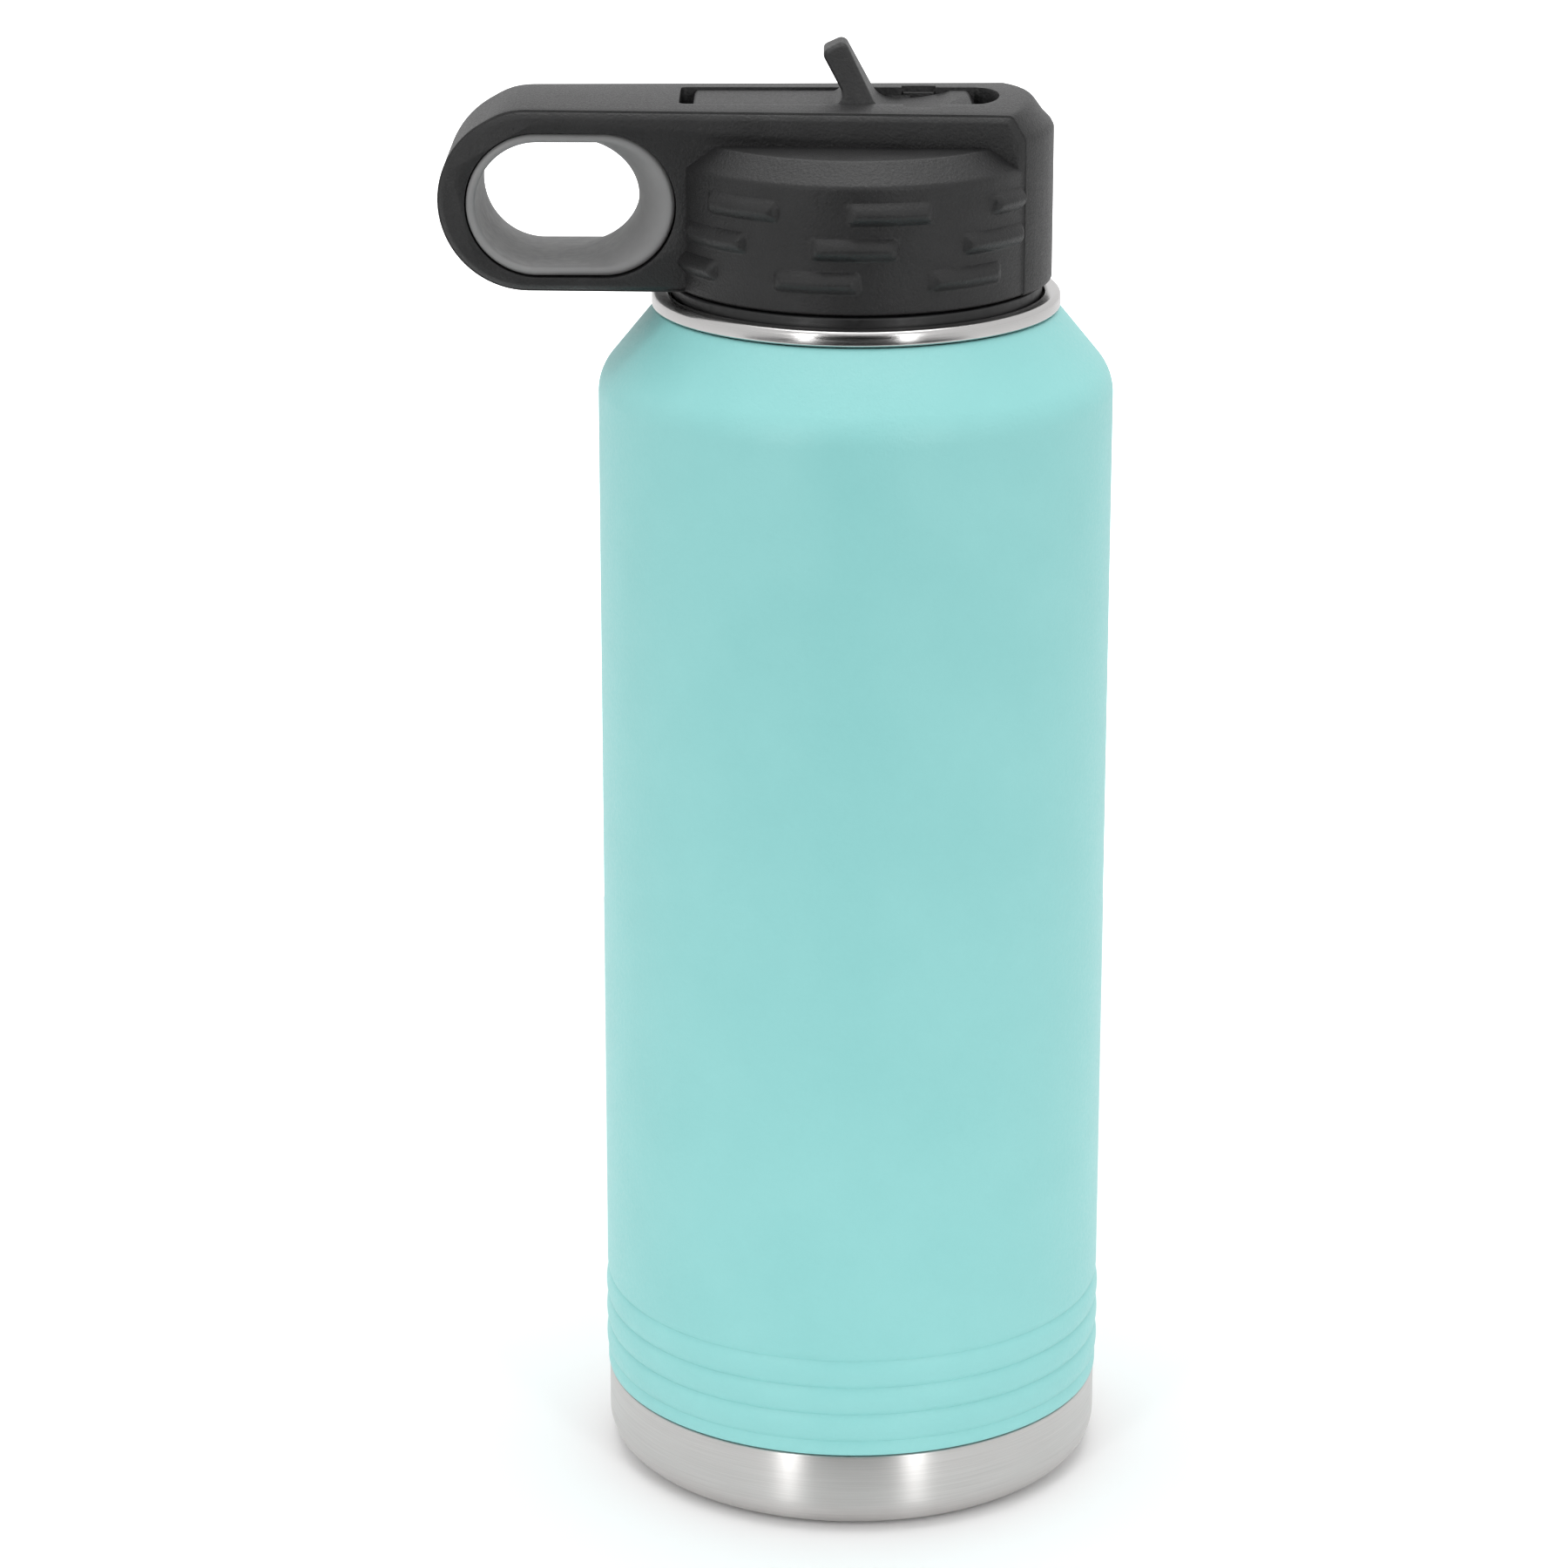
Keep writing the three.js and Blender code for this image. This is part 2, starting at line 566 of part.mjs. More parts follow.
function lidShell() {
  const barRoom = toSolid(plateXZ(barInside(), BAR_ROOM.half, 4));
  const slotTrough = toSolid(block(SLOT_LEFT_X - 2 * TROUGH_WALL, SLOT_RIGHT_X + TROUGH_WALL,
    -SLOT_HALF - TROUGH_WALL, SLOT_HALF + TROUGH_WALL, SLOT_FLOOR_Z - TROUGH_WALL, BAR_TOP_Z));
  const rotorTrough = toSolid(crossRod(POCKET_R + TROUGH_WALL, TRUNNION_HALF + TROUGH_WALL,
    PIVOT_X, PIVOT_Z, 32));
  const boss = toSolid(rod(BOSS_R, PLUG_TOP_Z + 1, PIVOT_Z)).translate([PIVOT_X, 0, 0]);
  const room = capRoom().add(barRoom).subtract(slotTrough).subtract(rotorTrough).subtract(boss);
  const sealBore = toSolid(rod(SEAL_R + GAP, PLUG_TOP_Z, PIVOT_Z - ROTOR_R + 2))
    .translate([PIVOT_X, 0, 0]);
  const hole = toSolid(plateXZ(stadium(0), 30, 16));
  return capSolid().add(barSolid()).subtract(room).subtract(slotSolid())
    .subtract(bearingCuts()).subtract(sealBore).subtract(hole);
}

// ---------------------------------------------------------------- grip insert
// A stadium-shaped sleeve. Towards the cap its bore swells into a rounded finger rest.
function gripInsert() {
  const around = 40;
  const positions = [];
  const faces = [];
  const outerR = HOLE_R - GAP;
  const boreR = HOLE_R - INSERT_WALL;
  const left = HOLE_LEFT_X + HOLE_R;
  const right = HOLE_RIGHT_X - HOLE_R;
  const reach = right + boreR - INSERT_HUMP - INSERT_REST_X;
  for (let i = 0; i < around; i += 1) {
    const angle = (2 * Math.PI * (i + 0.5)) / around;
    const c = Math.cos(angle);
    const s = Math.sin(angle);
    const centre = c > 0 ? right : left;
    const outerX = centre + outerR * c;
    const boreX = centre + boreR * c;
    const restX = INSERT_REST_X + reach * c;
    positions.push(outerX, -INSERT_HALF, HOLE_Z + outerR * s);
    positions.push(outerX, INSERT_HALF, HOLE_Z + outerR * s);
    for (const depth of [...INSERT_DEPTHS].reverse()) {
      const swell = c > 0 ? 1 - Math.abs(depth) ** INSERT_SWELL : 0;
      positions.push(boreX + (restX - boreX) * swell, depth * INSERT_HALF, HOLE_Z + boreR * s);
    }
  }
  const count = INSERT_DEPTHS.length + 2;
  for (let i = 0; i < around; i += 1) {
    const next = (i + 1) % around;
    for (let k = 0; k < count; k += 1) {
      const a = count * i + k;
      const b = count * i + ((k + 1) % count);
      const c = count * next + k;
      const d = count * next + ((k + 1) % count);
      faces.push(a, b, c, b, d, c);
    }
  }
  const geometry = new THREE.BufferGeometry();
  geometry.setAttribute('position', new THREE.Float32BufferAttribute(positions, 3));
  geometry.setIndex(faces);
  return geometry;
}

// ---------------------------------------------------------------- flip spout
// Side view of the mouthpiece bar, the finger scoop right of the tab and the round rotor.
function spoutSide() {
  const shape = new THREE.Shape();
  const rimAngle = Math.asin((SPOUT_TOP_Z - PIVOT_Z) / ROTOR_R);
  const tuckAngle = Math.PI + Math.asin((PIVOT_Z - SPOUT_BOTTOM_Z) / ROTOR_R);
  shape.moveTo(SPOUT_LEFT_X, SPOUT_BOTTOM_Z + SPOUT_CORNER);
  shape.lineTo(SPOUT_LEFT_X, SPOUT_TOP_Z - SPOUT_CORNER);
  shape.quadraticCurveTo(SPOUT_LEFT_X, SPOUT_TOP_Z, SPOUT_LEFT_X + SPOUT_CORNER, SPOUT_TOP_Z);
  shape.lineTo(SCOOP_LEFT_X, SPOUT_TOP_Z);
  shape.quadraticCurveTo(SCOOP_DEEP_X, SPOUT_TOP_Z - SCOOP_PULL, SCOOP_RIGHT_X, SPOUT_TOP_Z);
  shape.absarc(PIVOT_X, PIVOT_Z, ROTOR_R, rimAngle, tuckAngle - 2 * Math.PI, true);
  shape.lineTo(SPOUT_LEFT_X + SPOUT_CORNER, SPOUT_BOTTOM_Z);
  shape.closePath();
  return shape;
}

// The finger tab from the side: it leans towards the loop and both its feet are rounded.
function tabSide() {
  const side = new THREE.Shape();
  const foot = SPOUT_TOP_Z - TAB_FOOT_DEPTH;
  side.moveTo(TAB_FOOT_LEFT_X, foot);
  side.lineTo(TAB_FOOT_LEFT_X, SPOUT_TOP_Z);
  side.quadraticCurveTo(-1.2, SPOUT_TOP_Z, -2.4, SPOUT_TOP_Z + 2);
  side.lineTo(-6.2, TAB_TIP_Z - 2.4);
  side.quadraticCurveTo(-6.3, TAB_TIP_Z - 1.4, -4.6, TAB_TIP_Z - 0.6);
  side.quadraticCurveTo(-2.9, TAB_TIP_Z + 0.4, -2.2, TAB_TIP_Z - 1.4);
  side.lineTo(2.4, SPOUT_TOP_Z + 1.8);
  side.quadraticCurveTo(3.6, SPOUT_TOP_Z - 0.2, TAB_FOOT_RIGHT_X, foot);
  side.closePath();
  return side;
}

// And from the loop's side: as wide as the spout at its foot, narrow at its tip.
function tabFront() {
  const front = new THREE.Shape();
  const foot = SPOUT_TOP_Z - 2;
  const edge = TAB_TIP_HALF - 1;
  front.moveTo(-SPOUT_HALF, foot);
  front.lineTo(SPOUT_HALF, foot);
  front.lineTo(SPOUT_HALF, SPOUT_TOP_Z);
  front.lineTo(TAB_TIP_HALF, TAB_TIP_Z - 0.8);
  front.lineTo(edge, TAB_TIP_Z + 0.6);
  front.lineTo(-edge, TAB_TIP_Z + 0.6);
  front.lineTo(-TAB_TIP_HALF, TAB_TIP_Z - 0.8);
  front.lineTo(-SPOUT_HALF, SPOUT_TOP_Z);
  front.closePath();
  return front;
}

function tabSolid() {
  const length = 30;
  const frontPlate = new THREE.ExtrudeGeometry(tabFront(), { depth: length, bevelEnabled: false })
    .rotateX(Math.PI / 2).rotateZ(Math.PI / 2).translate(-length / 2, 0, 0);
  return toSolid(plateXZ(tabSide(), SPOUT_HALF, 6)).intersect(toSolid(frontPlate));
}

// The slanted cut that leaves a low facet at the front of the rotor's rim.
function facetCut() {
  const tilt = THREE.MathUtils.degToRad(FACET_START.tilt);
  const turn = THREE.MathUtils.degToRad(FACET_START.turn);
  return toSolid(block(-1, 20, -30, 30, 0, 10).rotateY(tilt).rotateZ(turn)
    .translate(FACET_START.x, -SPOUT_HALF, SPOUT_TOP_Z));
}

function flipSpout() {
  const body = toSolid(plateXZ(spoutSide(), SPOUT_HALF, 16));
  const trunnions = toSolid(crossRod(TRUNNION_R, TRUNNION_HALF, PIVOT_X, PIVOT_Z));
  const boreLength = PIVOT_X + ROTOR_R + 1 - SPOUT_LEFT_X + 1;
  const bore = toSolid(rod(SPOUT_BORE_R, 0, boreLength, 16).rotateY(Math.PI / 2)
    .translate(SPOUT_LEFT_X - 1, 0, PIVOT_Z));
  return body.add(tabSolid()).subtract(facetCut()).add(trunnions).subtract(bore);
}

// Plugs that close the two keyways over the trunnions.
function hingeKeeper(side) {
  const inset = 0.2;
  const half = KEEPER_W / 2 - GAP;
  const plug = toSolid(block(PIVOT_X - half, PIVOT_X + half, SLOT_HALF + inset, TRUNNION_HALF,
    PIVOT_Z, BAR_TOP_Z - 2 * inset));
  const relief = toSolid(crossRod(TRUNNION_R + 2 * GAP, 2 * TRUNNION_HALF, PIVOT_X, PIVOT_Z));
  return plug.subtract(relief).scale([1, side, 1]);
}

// ---------------------------------------------------------------- plug and fluid path
function threadedPlug() {
  const floorTop = PLUG_Z + PLUG_FLOOR;
  const bevel = 0.8;
  const cup = toSolid(turnedRod([[0, PLUG_Z], [PLUG_R - bevel, PLUG_Z], [PLUG_R, PLUG_Z + bevel],
    [PLUG_R, PLUG_TOP_Z], [PLUG_BORE_R, PLUG_TOP_Z], [PLUG_BORE_R, floorTop], [0, floorTop]], 40));
  const ridge = toSolid(threadRidge(PLUG_R, PLUG_CREST_R, NECK_THREAD_Z - THREAD_PITCH / 2));
  const adapterHole = toSolid(rod(ADAPTER_R + GAP, PLUG_Z - 1, floorTop + 1))
    .translate([PIVOT_X, 0, 0]);
  const ventHole = toSolid(rod(VENT_HOLE_R, PLUG_Z - 1, floorTop + 1, 16)).translate([VENT_X, 0, 0]);
  return cup.add(ridge).subtract(adapterHole).subtract(ventHole);
}

function foamDisc() {
  const low = PLUG_Z + PLUG_FLOOR + GAP;
  const high = low + FOAM_H;
  const disc = toSolid(rod(PLUG_BORE_R - GAP, low, high, 40));
  const adapterHole = toSolid(rod(1.5 * ADAPTER_R, low - 1, high + 1)).translate([PIVOT_X, 0, 0]);
  const ventHole = toSolid(rod(2 * VENT_HOLE_R, low - 1, high + 1, 20)).translate([VENT_X, 0, 0]);
  return disc.subtract(adapterHole).subtract(ventHole);
}

// The tube that holds the straw, with a flange at its top that carries the spout's seal.
function strawAdapter() {
  const flangeZ = PLUG_TOP_Z - 1;
  const flangeTop = flangeZ + FLANGE_H;
  const flangeR = SEAL_R - 0.2;
  const bore = STRAW_R - STRAW_WALL;
  const socketR = STRAW_R + GAP;
  const socketTop = PLUG_Z + PLUG_FLOOR + 0.8;
  return turned([
    [ADAPTER_R, ADAPTER_Z], [ADAPTER_R, flangeZ], [flangeR, flangeZ], [flangeR, flangeTop],
    [bore, flangeTop], [bore, socketTop], [socketR, socketTop], [socketR, ADAPTER_Z],
  ], FINE);
}

// A mushroom-shaped air valve: its head is under the plug's floor and its barb above.
function ventValve() {
  const stem = VENT_HOLE_R - GAP;
  const head = 4.4;
  const barb = 3;
  const under = PLUG_Z - GAP;
  const above = PLUG_Z + PLUG_FLOOR + GAP;
  return turnedRod([[0, under - 1.8], [stem, under - 1.8], [head, under - 0.6], [head, under],
    [stem, under], [stem, above], [barb, above], [0.8 * stem, above + 1.9], [0, above + 1.9]], 20);
}

function makeFluidPath() {
  const floorTop = PLUG_Z + PLUG_FLOOR;
  const strawTop = floorTop + 0.8 - GAP;
  const ringR = ADAPTER_R + GAP;
  const ringW = 1.6;
  addPiece('straw_adapter', strawAdapter().translate(PIVOT_X, 0, 0), BLACK_PLASTIC);
  const straw = pipe(STRAW_R - STRAW_WALL, STRAW_R, STRAW_Z, strawTop, 20);
  addPiece('straw', straw.translate(PIVOT_X, 0, 0), CLEAR_STRAW);
  const ring = pipe(ringR, ringR + ringW, floorTop + GAP, floorTop + GAP + ringW);
  addPiece('adapter_o_ring', ring.translate(PIVOT_X, 0, 0), BLACK_SILICONE);
  const sealLow = PLUG_TOP_Z - 1 + FLANGE_H + GAP;
  const rotorRoom = toSolid(crossRod(ROTOR_R + GAP, 2 * SEAL_R, PIVOT_X, PIVOT_Z, 40));
  const seal = toSolid(pipe(SPOUT_BORE_R, SEAL_R, sealLow, PIVOT_Z - ROTOR_R + SEAL_RISE))
    .translate([PIVOT_X, 0, 0]).subtract(rotorRoom);
  addPiece('spout_seal', seal, CLEAR_SILICONE);
  addPiece('vent_valve', ventValve().translate(VENT_X, 0, 0), CLEAR_SILICONE);
}

// The ring that seals the lid on the mouth, with a small lip around its foot.
function lidGasket() {
  const inner = PLUG_R + GAP;
  const outer = NECK_R - GAP;
  const top = CAP_Z - GAP;
  return turned([[outer - 0.6, GASKET_Z], [outer, GASKET_Z + GASKET_LIP], [outer, top],
    [inner, top], [inner, GASKET_Z]], ROUND);
}

function makeLid() {
  addPiece('lid_shell', lidShell(), BLACK_PLASTIC);
  addPiece('grip_insert', gripInsert(), GREY_GRIP);
  addPiece('flip_spout', flipSpout(), BLACK_PLASTIC);
  addPiece('hinge_keeper_front', hingeKeeper(-1), BLACK_PLASTIC);
  addPiece('hinge_keeper_back', hingeKeeper(1), BLACK_PLASTIC);
  addPiece('threaded_plug', threadedPlug(), BLACK_PLASTIC);
  addPiece('foam_disc', foamDisc(), WHITE_FOAM);
  addPiece('lid_gasket', lidGasket(), BLACK_SILICONE);
  makeFluidPath();
}

makeBottle();
makeLid();

export default group;
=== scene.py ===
"""Looks for the insulated water bottle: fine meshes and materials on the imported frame.

Lengths are in millimetres while a shape is drawn and become metres when its mesh is made.
+Z is up, the carry loop points along -X and the camera looks along +Y.
"""
import json
import math

import bmesh
import bpy
import numpy as np
from mathutils import Matrix, Vector


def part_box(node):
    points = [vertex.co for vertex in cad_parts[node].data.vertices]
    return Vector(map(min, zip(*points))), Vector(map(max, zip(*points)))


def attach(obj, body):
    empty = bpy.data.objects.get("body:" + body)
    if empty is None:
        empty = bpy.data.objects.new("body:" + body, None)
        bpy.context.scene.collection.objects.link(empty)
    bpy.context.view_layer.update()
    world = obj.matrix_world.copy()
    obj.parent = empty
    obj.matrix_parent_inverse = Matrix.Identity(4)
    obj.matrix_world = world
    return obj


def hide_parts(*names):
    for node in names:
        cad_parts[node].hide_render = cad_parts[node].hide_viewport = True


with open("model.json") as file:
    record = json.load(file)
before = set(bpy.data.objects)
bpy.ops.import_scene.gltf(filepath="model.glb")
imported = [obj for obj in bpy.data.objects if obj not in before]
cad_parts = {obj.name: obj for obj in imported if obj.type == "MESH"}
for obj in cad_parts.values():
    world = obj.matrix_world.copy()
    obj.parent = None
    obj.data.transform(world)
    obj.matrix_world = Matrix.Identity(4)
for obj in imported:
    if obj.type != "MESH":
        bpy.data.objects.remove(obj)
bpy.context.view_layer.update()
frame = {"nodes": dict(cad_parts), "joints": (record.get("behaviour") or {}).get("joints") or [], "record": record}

MM = 0.001
TAU = 2 * math.pi


def box_mm(node):
    """A CAD node's lowest and highest corner in millimetres."""
    low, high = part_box(node)
    return np.array(low) / MM, np.array(high) / MM


# ---------------------------------------------------------------- sizes taken from the frame
SHELL_LOW, SHELL_HIGH = box_mm("outer_shell")
CONE_LOW, CONE_HIGH = box_mm("shoulder_cone")
BASE_HIGH = box_mm("base_cup")[1]
LINER_LOW, LINER_HIGH = box_mm("inner_liner")
MOUTH_HIGH = box_mm("mouth_ring")[1]
LID_LOW, LID_HIGH = box_mm("lid_shell")
GASKET_LOW, GASKET_HIGH = box_mm("lid_gasket")
INSERT_LOW, INSERT_HIGH = box_mm("grip_insert")
SPOUT_LOW, SPOUT_HIGH = box_mm("flip_spout")
PLUG_LOW, PLUG_HIGH = box_mm("threaded_plug")
PIVOT = [np.array(j["pos_m"]) / MM for j in frame["joints"] if j["name"] == "spout_flip"][0]

# ---------------------------------------------------------------- bottle sizes
SEAM = 0.3
BODY_FACETS = 256
RIB_CREST_R = SHELL_HIGH[0]
BODY_R = RIB_CREST_R - 0.25
RIB_CREASE_R = BODY_R - 0.35
RIB_PITCH = 5.2
RIB_FULLNESS = 0.62    # below 1 the crests are broad and the creases narrow
RIB_STEPS = 14
BASE_R = BASE_HIGH[0]
PAINT_EDGE_Z = BASE_HIGH[2] + SEAM
RIB_CREASES_Z = [PAINT_EDGE_Z + 2.7 + RIB_PITCH * i for i in range(4)]
SHELL_WALL = 0.6
SPIGOT_R = BASE_R - 1.1    # the painted wall's lower end, inside the base cup
BASE_WALL = 0.8
BASE_CORNER_R = 6.0
BOTTOM_GROOVES = [(11, 12.8), (30.5, 32)]    # inner and outer radius of each turned groove
GROOVE_DEPTH = 0.25
GROOVE_SLOPE = 0.4
LIP_Z = MOUTH_HIGH[2]
LIP_R = 36.0
LIP_H = 2.8
NECK_R = 33.0
NECK_WALL = 0.7
NECK_Z = 206.5
LINER_R = LINER_HIGH[0]
LINER_WALL = 0.5
LINER_SHOULDER_Z = 197.5
SHOULDER_Z = CONE_LOW[2]
SHOULDER_ARC_R = 9.0
SHOULDER_TILT = math.radians(39.2)
THREAD_PITCH = 4.5
THREAD_ROOT_W = 2.2
THREAD_FLANK_W = 1.5
THREAD_CREST_W = 0.7
THREAD_DEPTH = 1.9
THREAD_SINK = 0.3    # how deep the ridge's foot is sunk into the wall
THREAD_FADE = 10    # steps over which the ridge grows at each end
THREAD_Z = 210.4

# ---------------------------------------------------------------- lid sizes
CAP_Z = LID_LOW[2]
CAP_R = 33.0
CAP_SHOULDER_Z = CAP_Z + 22
CAP_TOP_Z = CAP_Z + 25.8
CAP_TOP_R = 28.5
CAP_ROOM_R = CAP_R - 2
CAP_FACETS = 640
CAP_ROW_STEP = 0.25
# Each row of grip bars: its height and how far its middle bar is turned, in degrees.
GRIP_ROWS = [(CAP_Z + 17.4, 9.9), (CAP_Z + 11.3, -0.9), (CAP_Z + 5.6, -12.4)]
GRIP_PITCH = 47.1    # degrees from bar to bar in a row
GRIP_SPAN = math.radians(26.6)
GRIP_H = 3.9
GRIP_PROUD = 1.3
GRIP_SQUARENESS = 4    # 2 gives a bar with round ends, more gives squarer ones
GRIP_RIDGE = 1.6    # 1 gives a bar with flat slopes, more gives a rounder crest

BAR_CROWN = 0.8
BAR_TOP_Z = LID_HIGH[2] - BAR_CROWN
BAR_LOOP_HALF = 13.2
BAR_END_HALF = 17.2
BAR_END_X = LID_HIGH[0]
BAR_CORNER_X = BAR_END_X - 6
BAR_CHAMFER = 4
BAR_CROWN_EDGE = 2
BAR_BOW_START_X = 20
LOOP_TIP_X = LID_LOW[0]
LOOP_R = (BAR_TOP_Z - CAP_Z) / 2

HOLE_R = 12.65
HOLE_Z = CAP_Z + 15.15
HOLE_LEFT_X = INSERT_LOW[0] - SEAM
HOLE_RIGHT_X = INSERT_HIGH[0] + SEAM
INSERT_HALF = INSERT_HIGH[1]
INSERT_WALL = 1.8
INSERT_LIP = 0.6
INSERT_SWELL = 3.5
INSERT_HUMP = 5.0    # how far the finger rest swells into the hole
INSERT_REST_X = -51.5

ROTOR_R = 10.6
POCKET_R = 11.2
SLOT_HALF = 8.2
SLOT_LEFT_X = SPOUT_LOW[0] - 2.3
SLOT_BEND_X = 20.6
SLOT_RIGHT_X = 24.8
SLOT_CORNER_R = 1.2
SLOT_FLOOR_Z = 242.4
TROUGH_WALL = 2
SPOUT_HALF = 7.8
SPOUT_LEFT_X = SPOUT_LOW[0]
SPOUT_BOTTOM_Z = 243.0
SPOUT_TOP_Z = 252.5
SCOOP_LEFT_X = 2.0
SCOOP_DEEP_X = 7.5
SCOOP_RIGHT_X = 16.5
SCOOP_PULL = 2.6
FACET_X = 14.4    # where the slanted facet at the rotor's front rim starts
FACET_TILT = math.radians(17.8)
FACET_TURN = math.radians(-25)
SPOUT_BORE_R = 2.5
TAB_TIP_Z = SPOUT_HIGH[2]
TAB_TIP_HALF = 3.5
TAB_FOOT_RISE = 0.3
TRUNNION_R = 2.6
TRUNNION_HALF = SPOUT_HIGH[1]
KEEPER_W = 6.0
BEARING_GAP = 0.3
SEAL_BORE_R = 6.3
BOSS_R = 8.6
BOSS_Z = 229
GASKET_BORE_R = 30.9
PLUG_R = 30.6
PLUG_WALL = 2
PLUG_FLOOR = 2.2
PLUG_CORNER_R = 1.2
ADAPTER_HOLE_R = 4.9
VENT_HOLE_R = 2.3
VENT_X = -14

OUTLINE_STEP = 2.5    # longest straight stretch of the bar's and the spout's outlines
SMOOTH_ANGLE = 35
MERGE_DISTANCE_M = 1e-7
ON_AXIS_R = 1e-6


# ---------------------------------------------------------------- drawing helpers
def rounded(corners, closed=True, steps=6):
    """Turns (x, y, radius) corners into a path whose corners are circular arcs."""
    path = []
    count = len(corners)
    for i, (x, y, radius) in enumerate(corners):
        here = np.array([x, y], float)
        if radius <= 0 or (not closed and i in (0, count - 1)):
            path.append(here)
            continue
        before = np.array(corners[i - 1][:2], float) - here
        after = np.array(corners[(i + 1) % count][:2], float) - here
        reach = min(np.linalg.norm(before), np.linalg.norm(after))
        before /= np.linalg.norm(before)
        after /= np.linalg.norm(after)
        half = math.acos(max(-1.0, min(1.0, float(before @ after)))) / 2
        tangent = min(radius / math.tan(half), 0.49 * reach)
        radius = tangent * math.tan(half)
        middle = before + after
        centre = here + middle / np.linalg.norm(middle) * radius / math.sin(half)
        start = here + before * tangent - centre
        end = here + after * tangent - centre
        a0 = math.atan2(start[1], start[0])
        sweep = (math.atan2(end[1], end[0]) - a0 + math.pi) % TAU - math.pi
        for k in range(steps + 1):
            a = a0 + sweep * k / steps
            path.append(centre + radius * np.array([math.cos(a), math.sin(a)]))
    return np.array(path)


def arc(centre_x, centre_y, radius, start, end, steps):
    """Points on a circle from one angle to another."""
    angles = np.linspace(start, end, steps + 1)
    return np.column_stack([centre_x + radius * np.cos(angles), centre_y + radius * np.sin(angles)])


def resampled(path, longest):
    """Splits the long straight stretches of a closed path."""
    points = []
    for a, b in zip(path, np.roll(path, -1, axis=0)):
        parts = max(1, math.ceil(np.linalg.norm(b - a) / longest))
        points.extend(a + (b - a) * k / parts for k in range(parts))
    return np.array(points)


def smooth_step(value):
    value = np.clip(value, 0.0, 1.0)
    return value * value * (3 - 2 * value)


def make_object(name, points, faces, smooth_angle=SMOOTH_ANGLE):
    """A mesh object from points in millimetres, shaded smooth up to an angle."""
    mesh = bpy.data.meshes.new(name)
    mesh.from_pydata((np.asarray(points) * MM).tolist(), [], faces)
    mesh.update()
    obj = bpy.data.objects.new(name, mesh)
    bpy.context.scene.collection.objects.link(obj)
    tidy_mesh(obj, smooth_angle)
    return obj


def tidy_mesh(obj, smooth_angle=SMOOTH_ANGLE):
    """Joins doubled points, drops empty faces and sets the shading."""
    work = bmesh.new()
    work.from_mesh(obj.data)
    bmesh.ops.remove_doubles(work, verts=work.verts, dist=MERGE_DISTANCE_M)
    bmesh.ops.dissolve_degenerate(work, edges=work.edges, dist=MERGE_DISTANCE_M)
    work.to_mesh(obj.data)
    work.free()
    for face in obj.data.polygons:
        face.use_smooth = True
    obj.data.set_sharp_from_angle(angle=math.radians(smooth_angle))


def turned(name, profile, facets, smooth_angle=SMOOTH_ANGLE):
    """A solid of revolution about Z. The profile runs up the outside and back inside."""
    points = []
    rows = []
    for r, z in profile:
        if r < ON_AXIS_R:
            rows.append([len(points)] * facets)
            points.append((0.0, 0.0, z))
            continue
        rows.append(list(range(len(points), len(points) + facets)))
        for k in range(facets):
            a = TAU * k / facets
            points.append((r * math.cos(a), r * math.sin(a), z))
    faces = []
    on_axis = profile[0][0] < ON_AXIS_R
    last = len(rows) - 1 if on_axis else len(rows)
    for i in range(last):
        low, high = rows[i], rows[(i + 1) % len(rows)]
        for k in range(facets):
            n = (k + 1) % facets
            ring = [low[k], low[n], high[n], high[k]]
            face = [v for j, v in enumerate(ring) if v not in ring[:j]]
            if len(face) > 2:
                faces.append(face)
    return make_object(name, points, faces, smooth_angle)


def round_edge(radius, steps=3):
    """A slab's edge as (depth, drop) points from its flat side to its rim."""
    turns = [math.pi / 2 * k / steps for k in range(steps, 0, -1)]
    return [(radius * (1 - math.sin(a)), radius * (1 - math.cos(a))) for a in turns] + [(radius, 0.0)]


def slab(name, outline, half_width, edge, rows, bend=None, smooth_angle=SMOOTH_ANGLE):
    """A plate with shaped edges: an (x, z) outline, anticlockwise, made solid across Y."""
    tangent = np.roll(outline, -1, axis=0) - np.roll(outline, 1, axis=0)
    tangent /= np.linalg.norm(tangent, axis=1)[:, None]
    outward = np.column_stack([tangent[:, 1], -tangent[:, 0]])
    rim = edge[-1][0]
    rings = [(-1, depth, drop) for depth, drop in edge[:-1]]
    rings += [(2 * k / rows - 1, rim, 0.0) for k in range(rows + 1)]
    rings += [(1, depth, drop) for depth, drop in reversed(edge[:-1])]
    points = []
    for side, depth, drop in rings:
        ring = outline - outward * drop
        half = np.array([half_width(x, z) for x, z in ring])
        y = side * (half - depth)
        points.append(np.column_stack([ring[:, 0], y, ring[:, 1]]))
    grid = np.concatenate(points)
    if bend:
        grid = bend(grid)
    count = len(outline)
    faces = []
    for r in range(len(rings) - 1):
        for i in range(count):
            n = (i + 1) % count
            a, b = r * count, (r + 1) * count
            faces.append([a + i, b + i, b + n, a + n])
    faces.append(list(range(count)))
    last = (len(rings) - 1) * count
    faces.append(list(range(last + count - 1, last - 1, -1)))
    return make_object(name, grid, faces, smooth_angle)


def prism(name, outline, low, high, across="Z"):
    """A straight-sided tool made from a closed outline, for cutting."""
    count = len(outline)
    points = []
    for level in (low, high):
        for u, v in outline:
            points.append((u, v, level) if across == "Z" else (u, -level, v))
    sides = [[i, (i + 1) % count, count + (i + 1) % count, count + i] for i in range(count)]
    ends = [list(range(count - 1, -1, -1)), list(range(count, 2 * count))]
    return make_object(name, points, sides + ends)


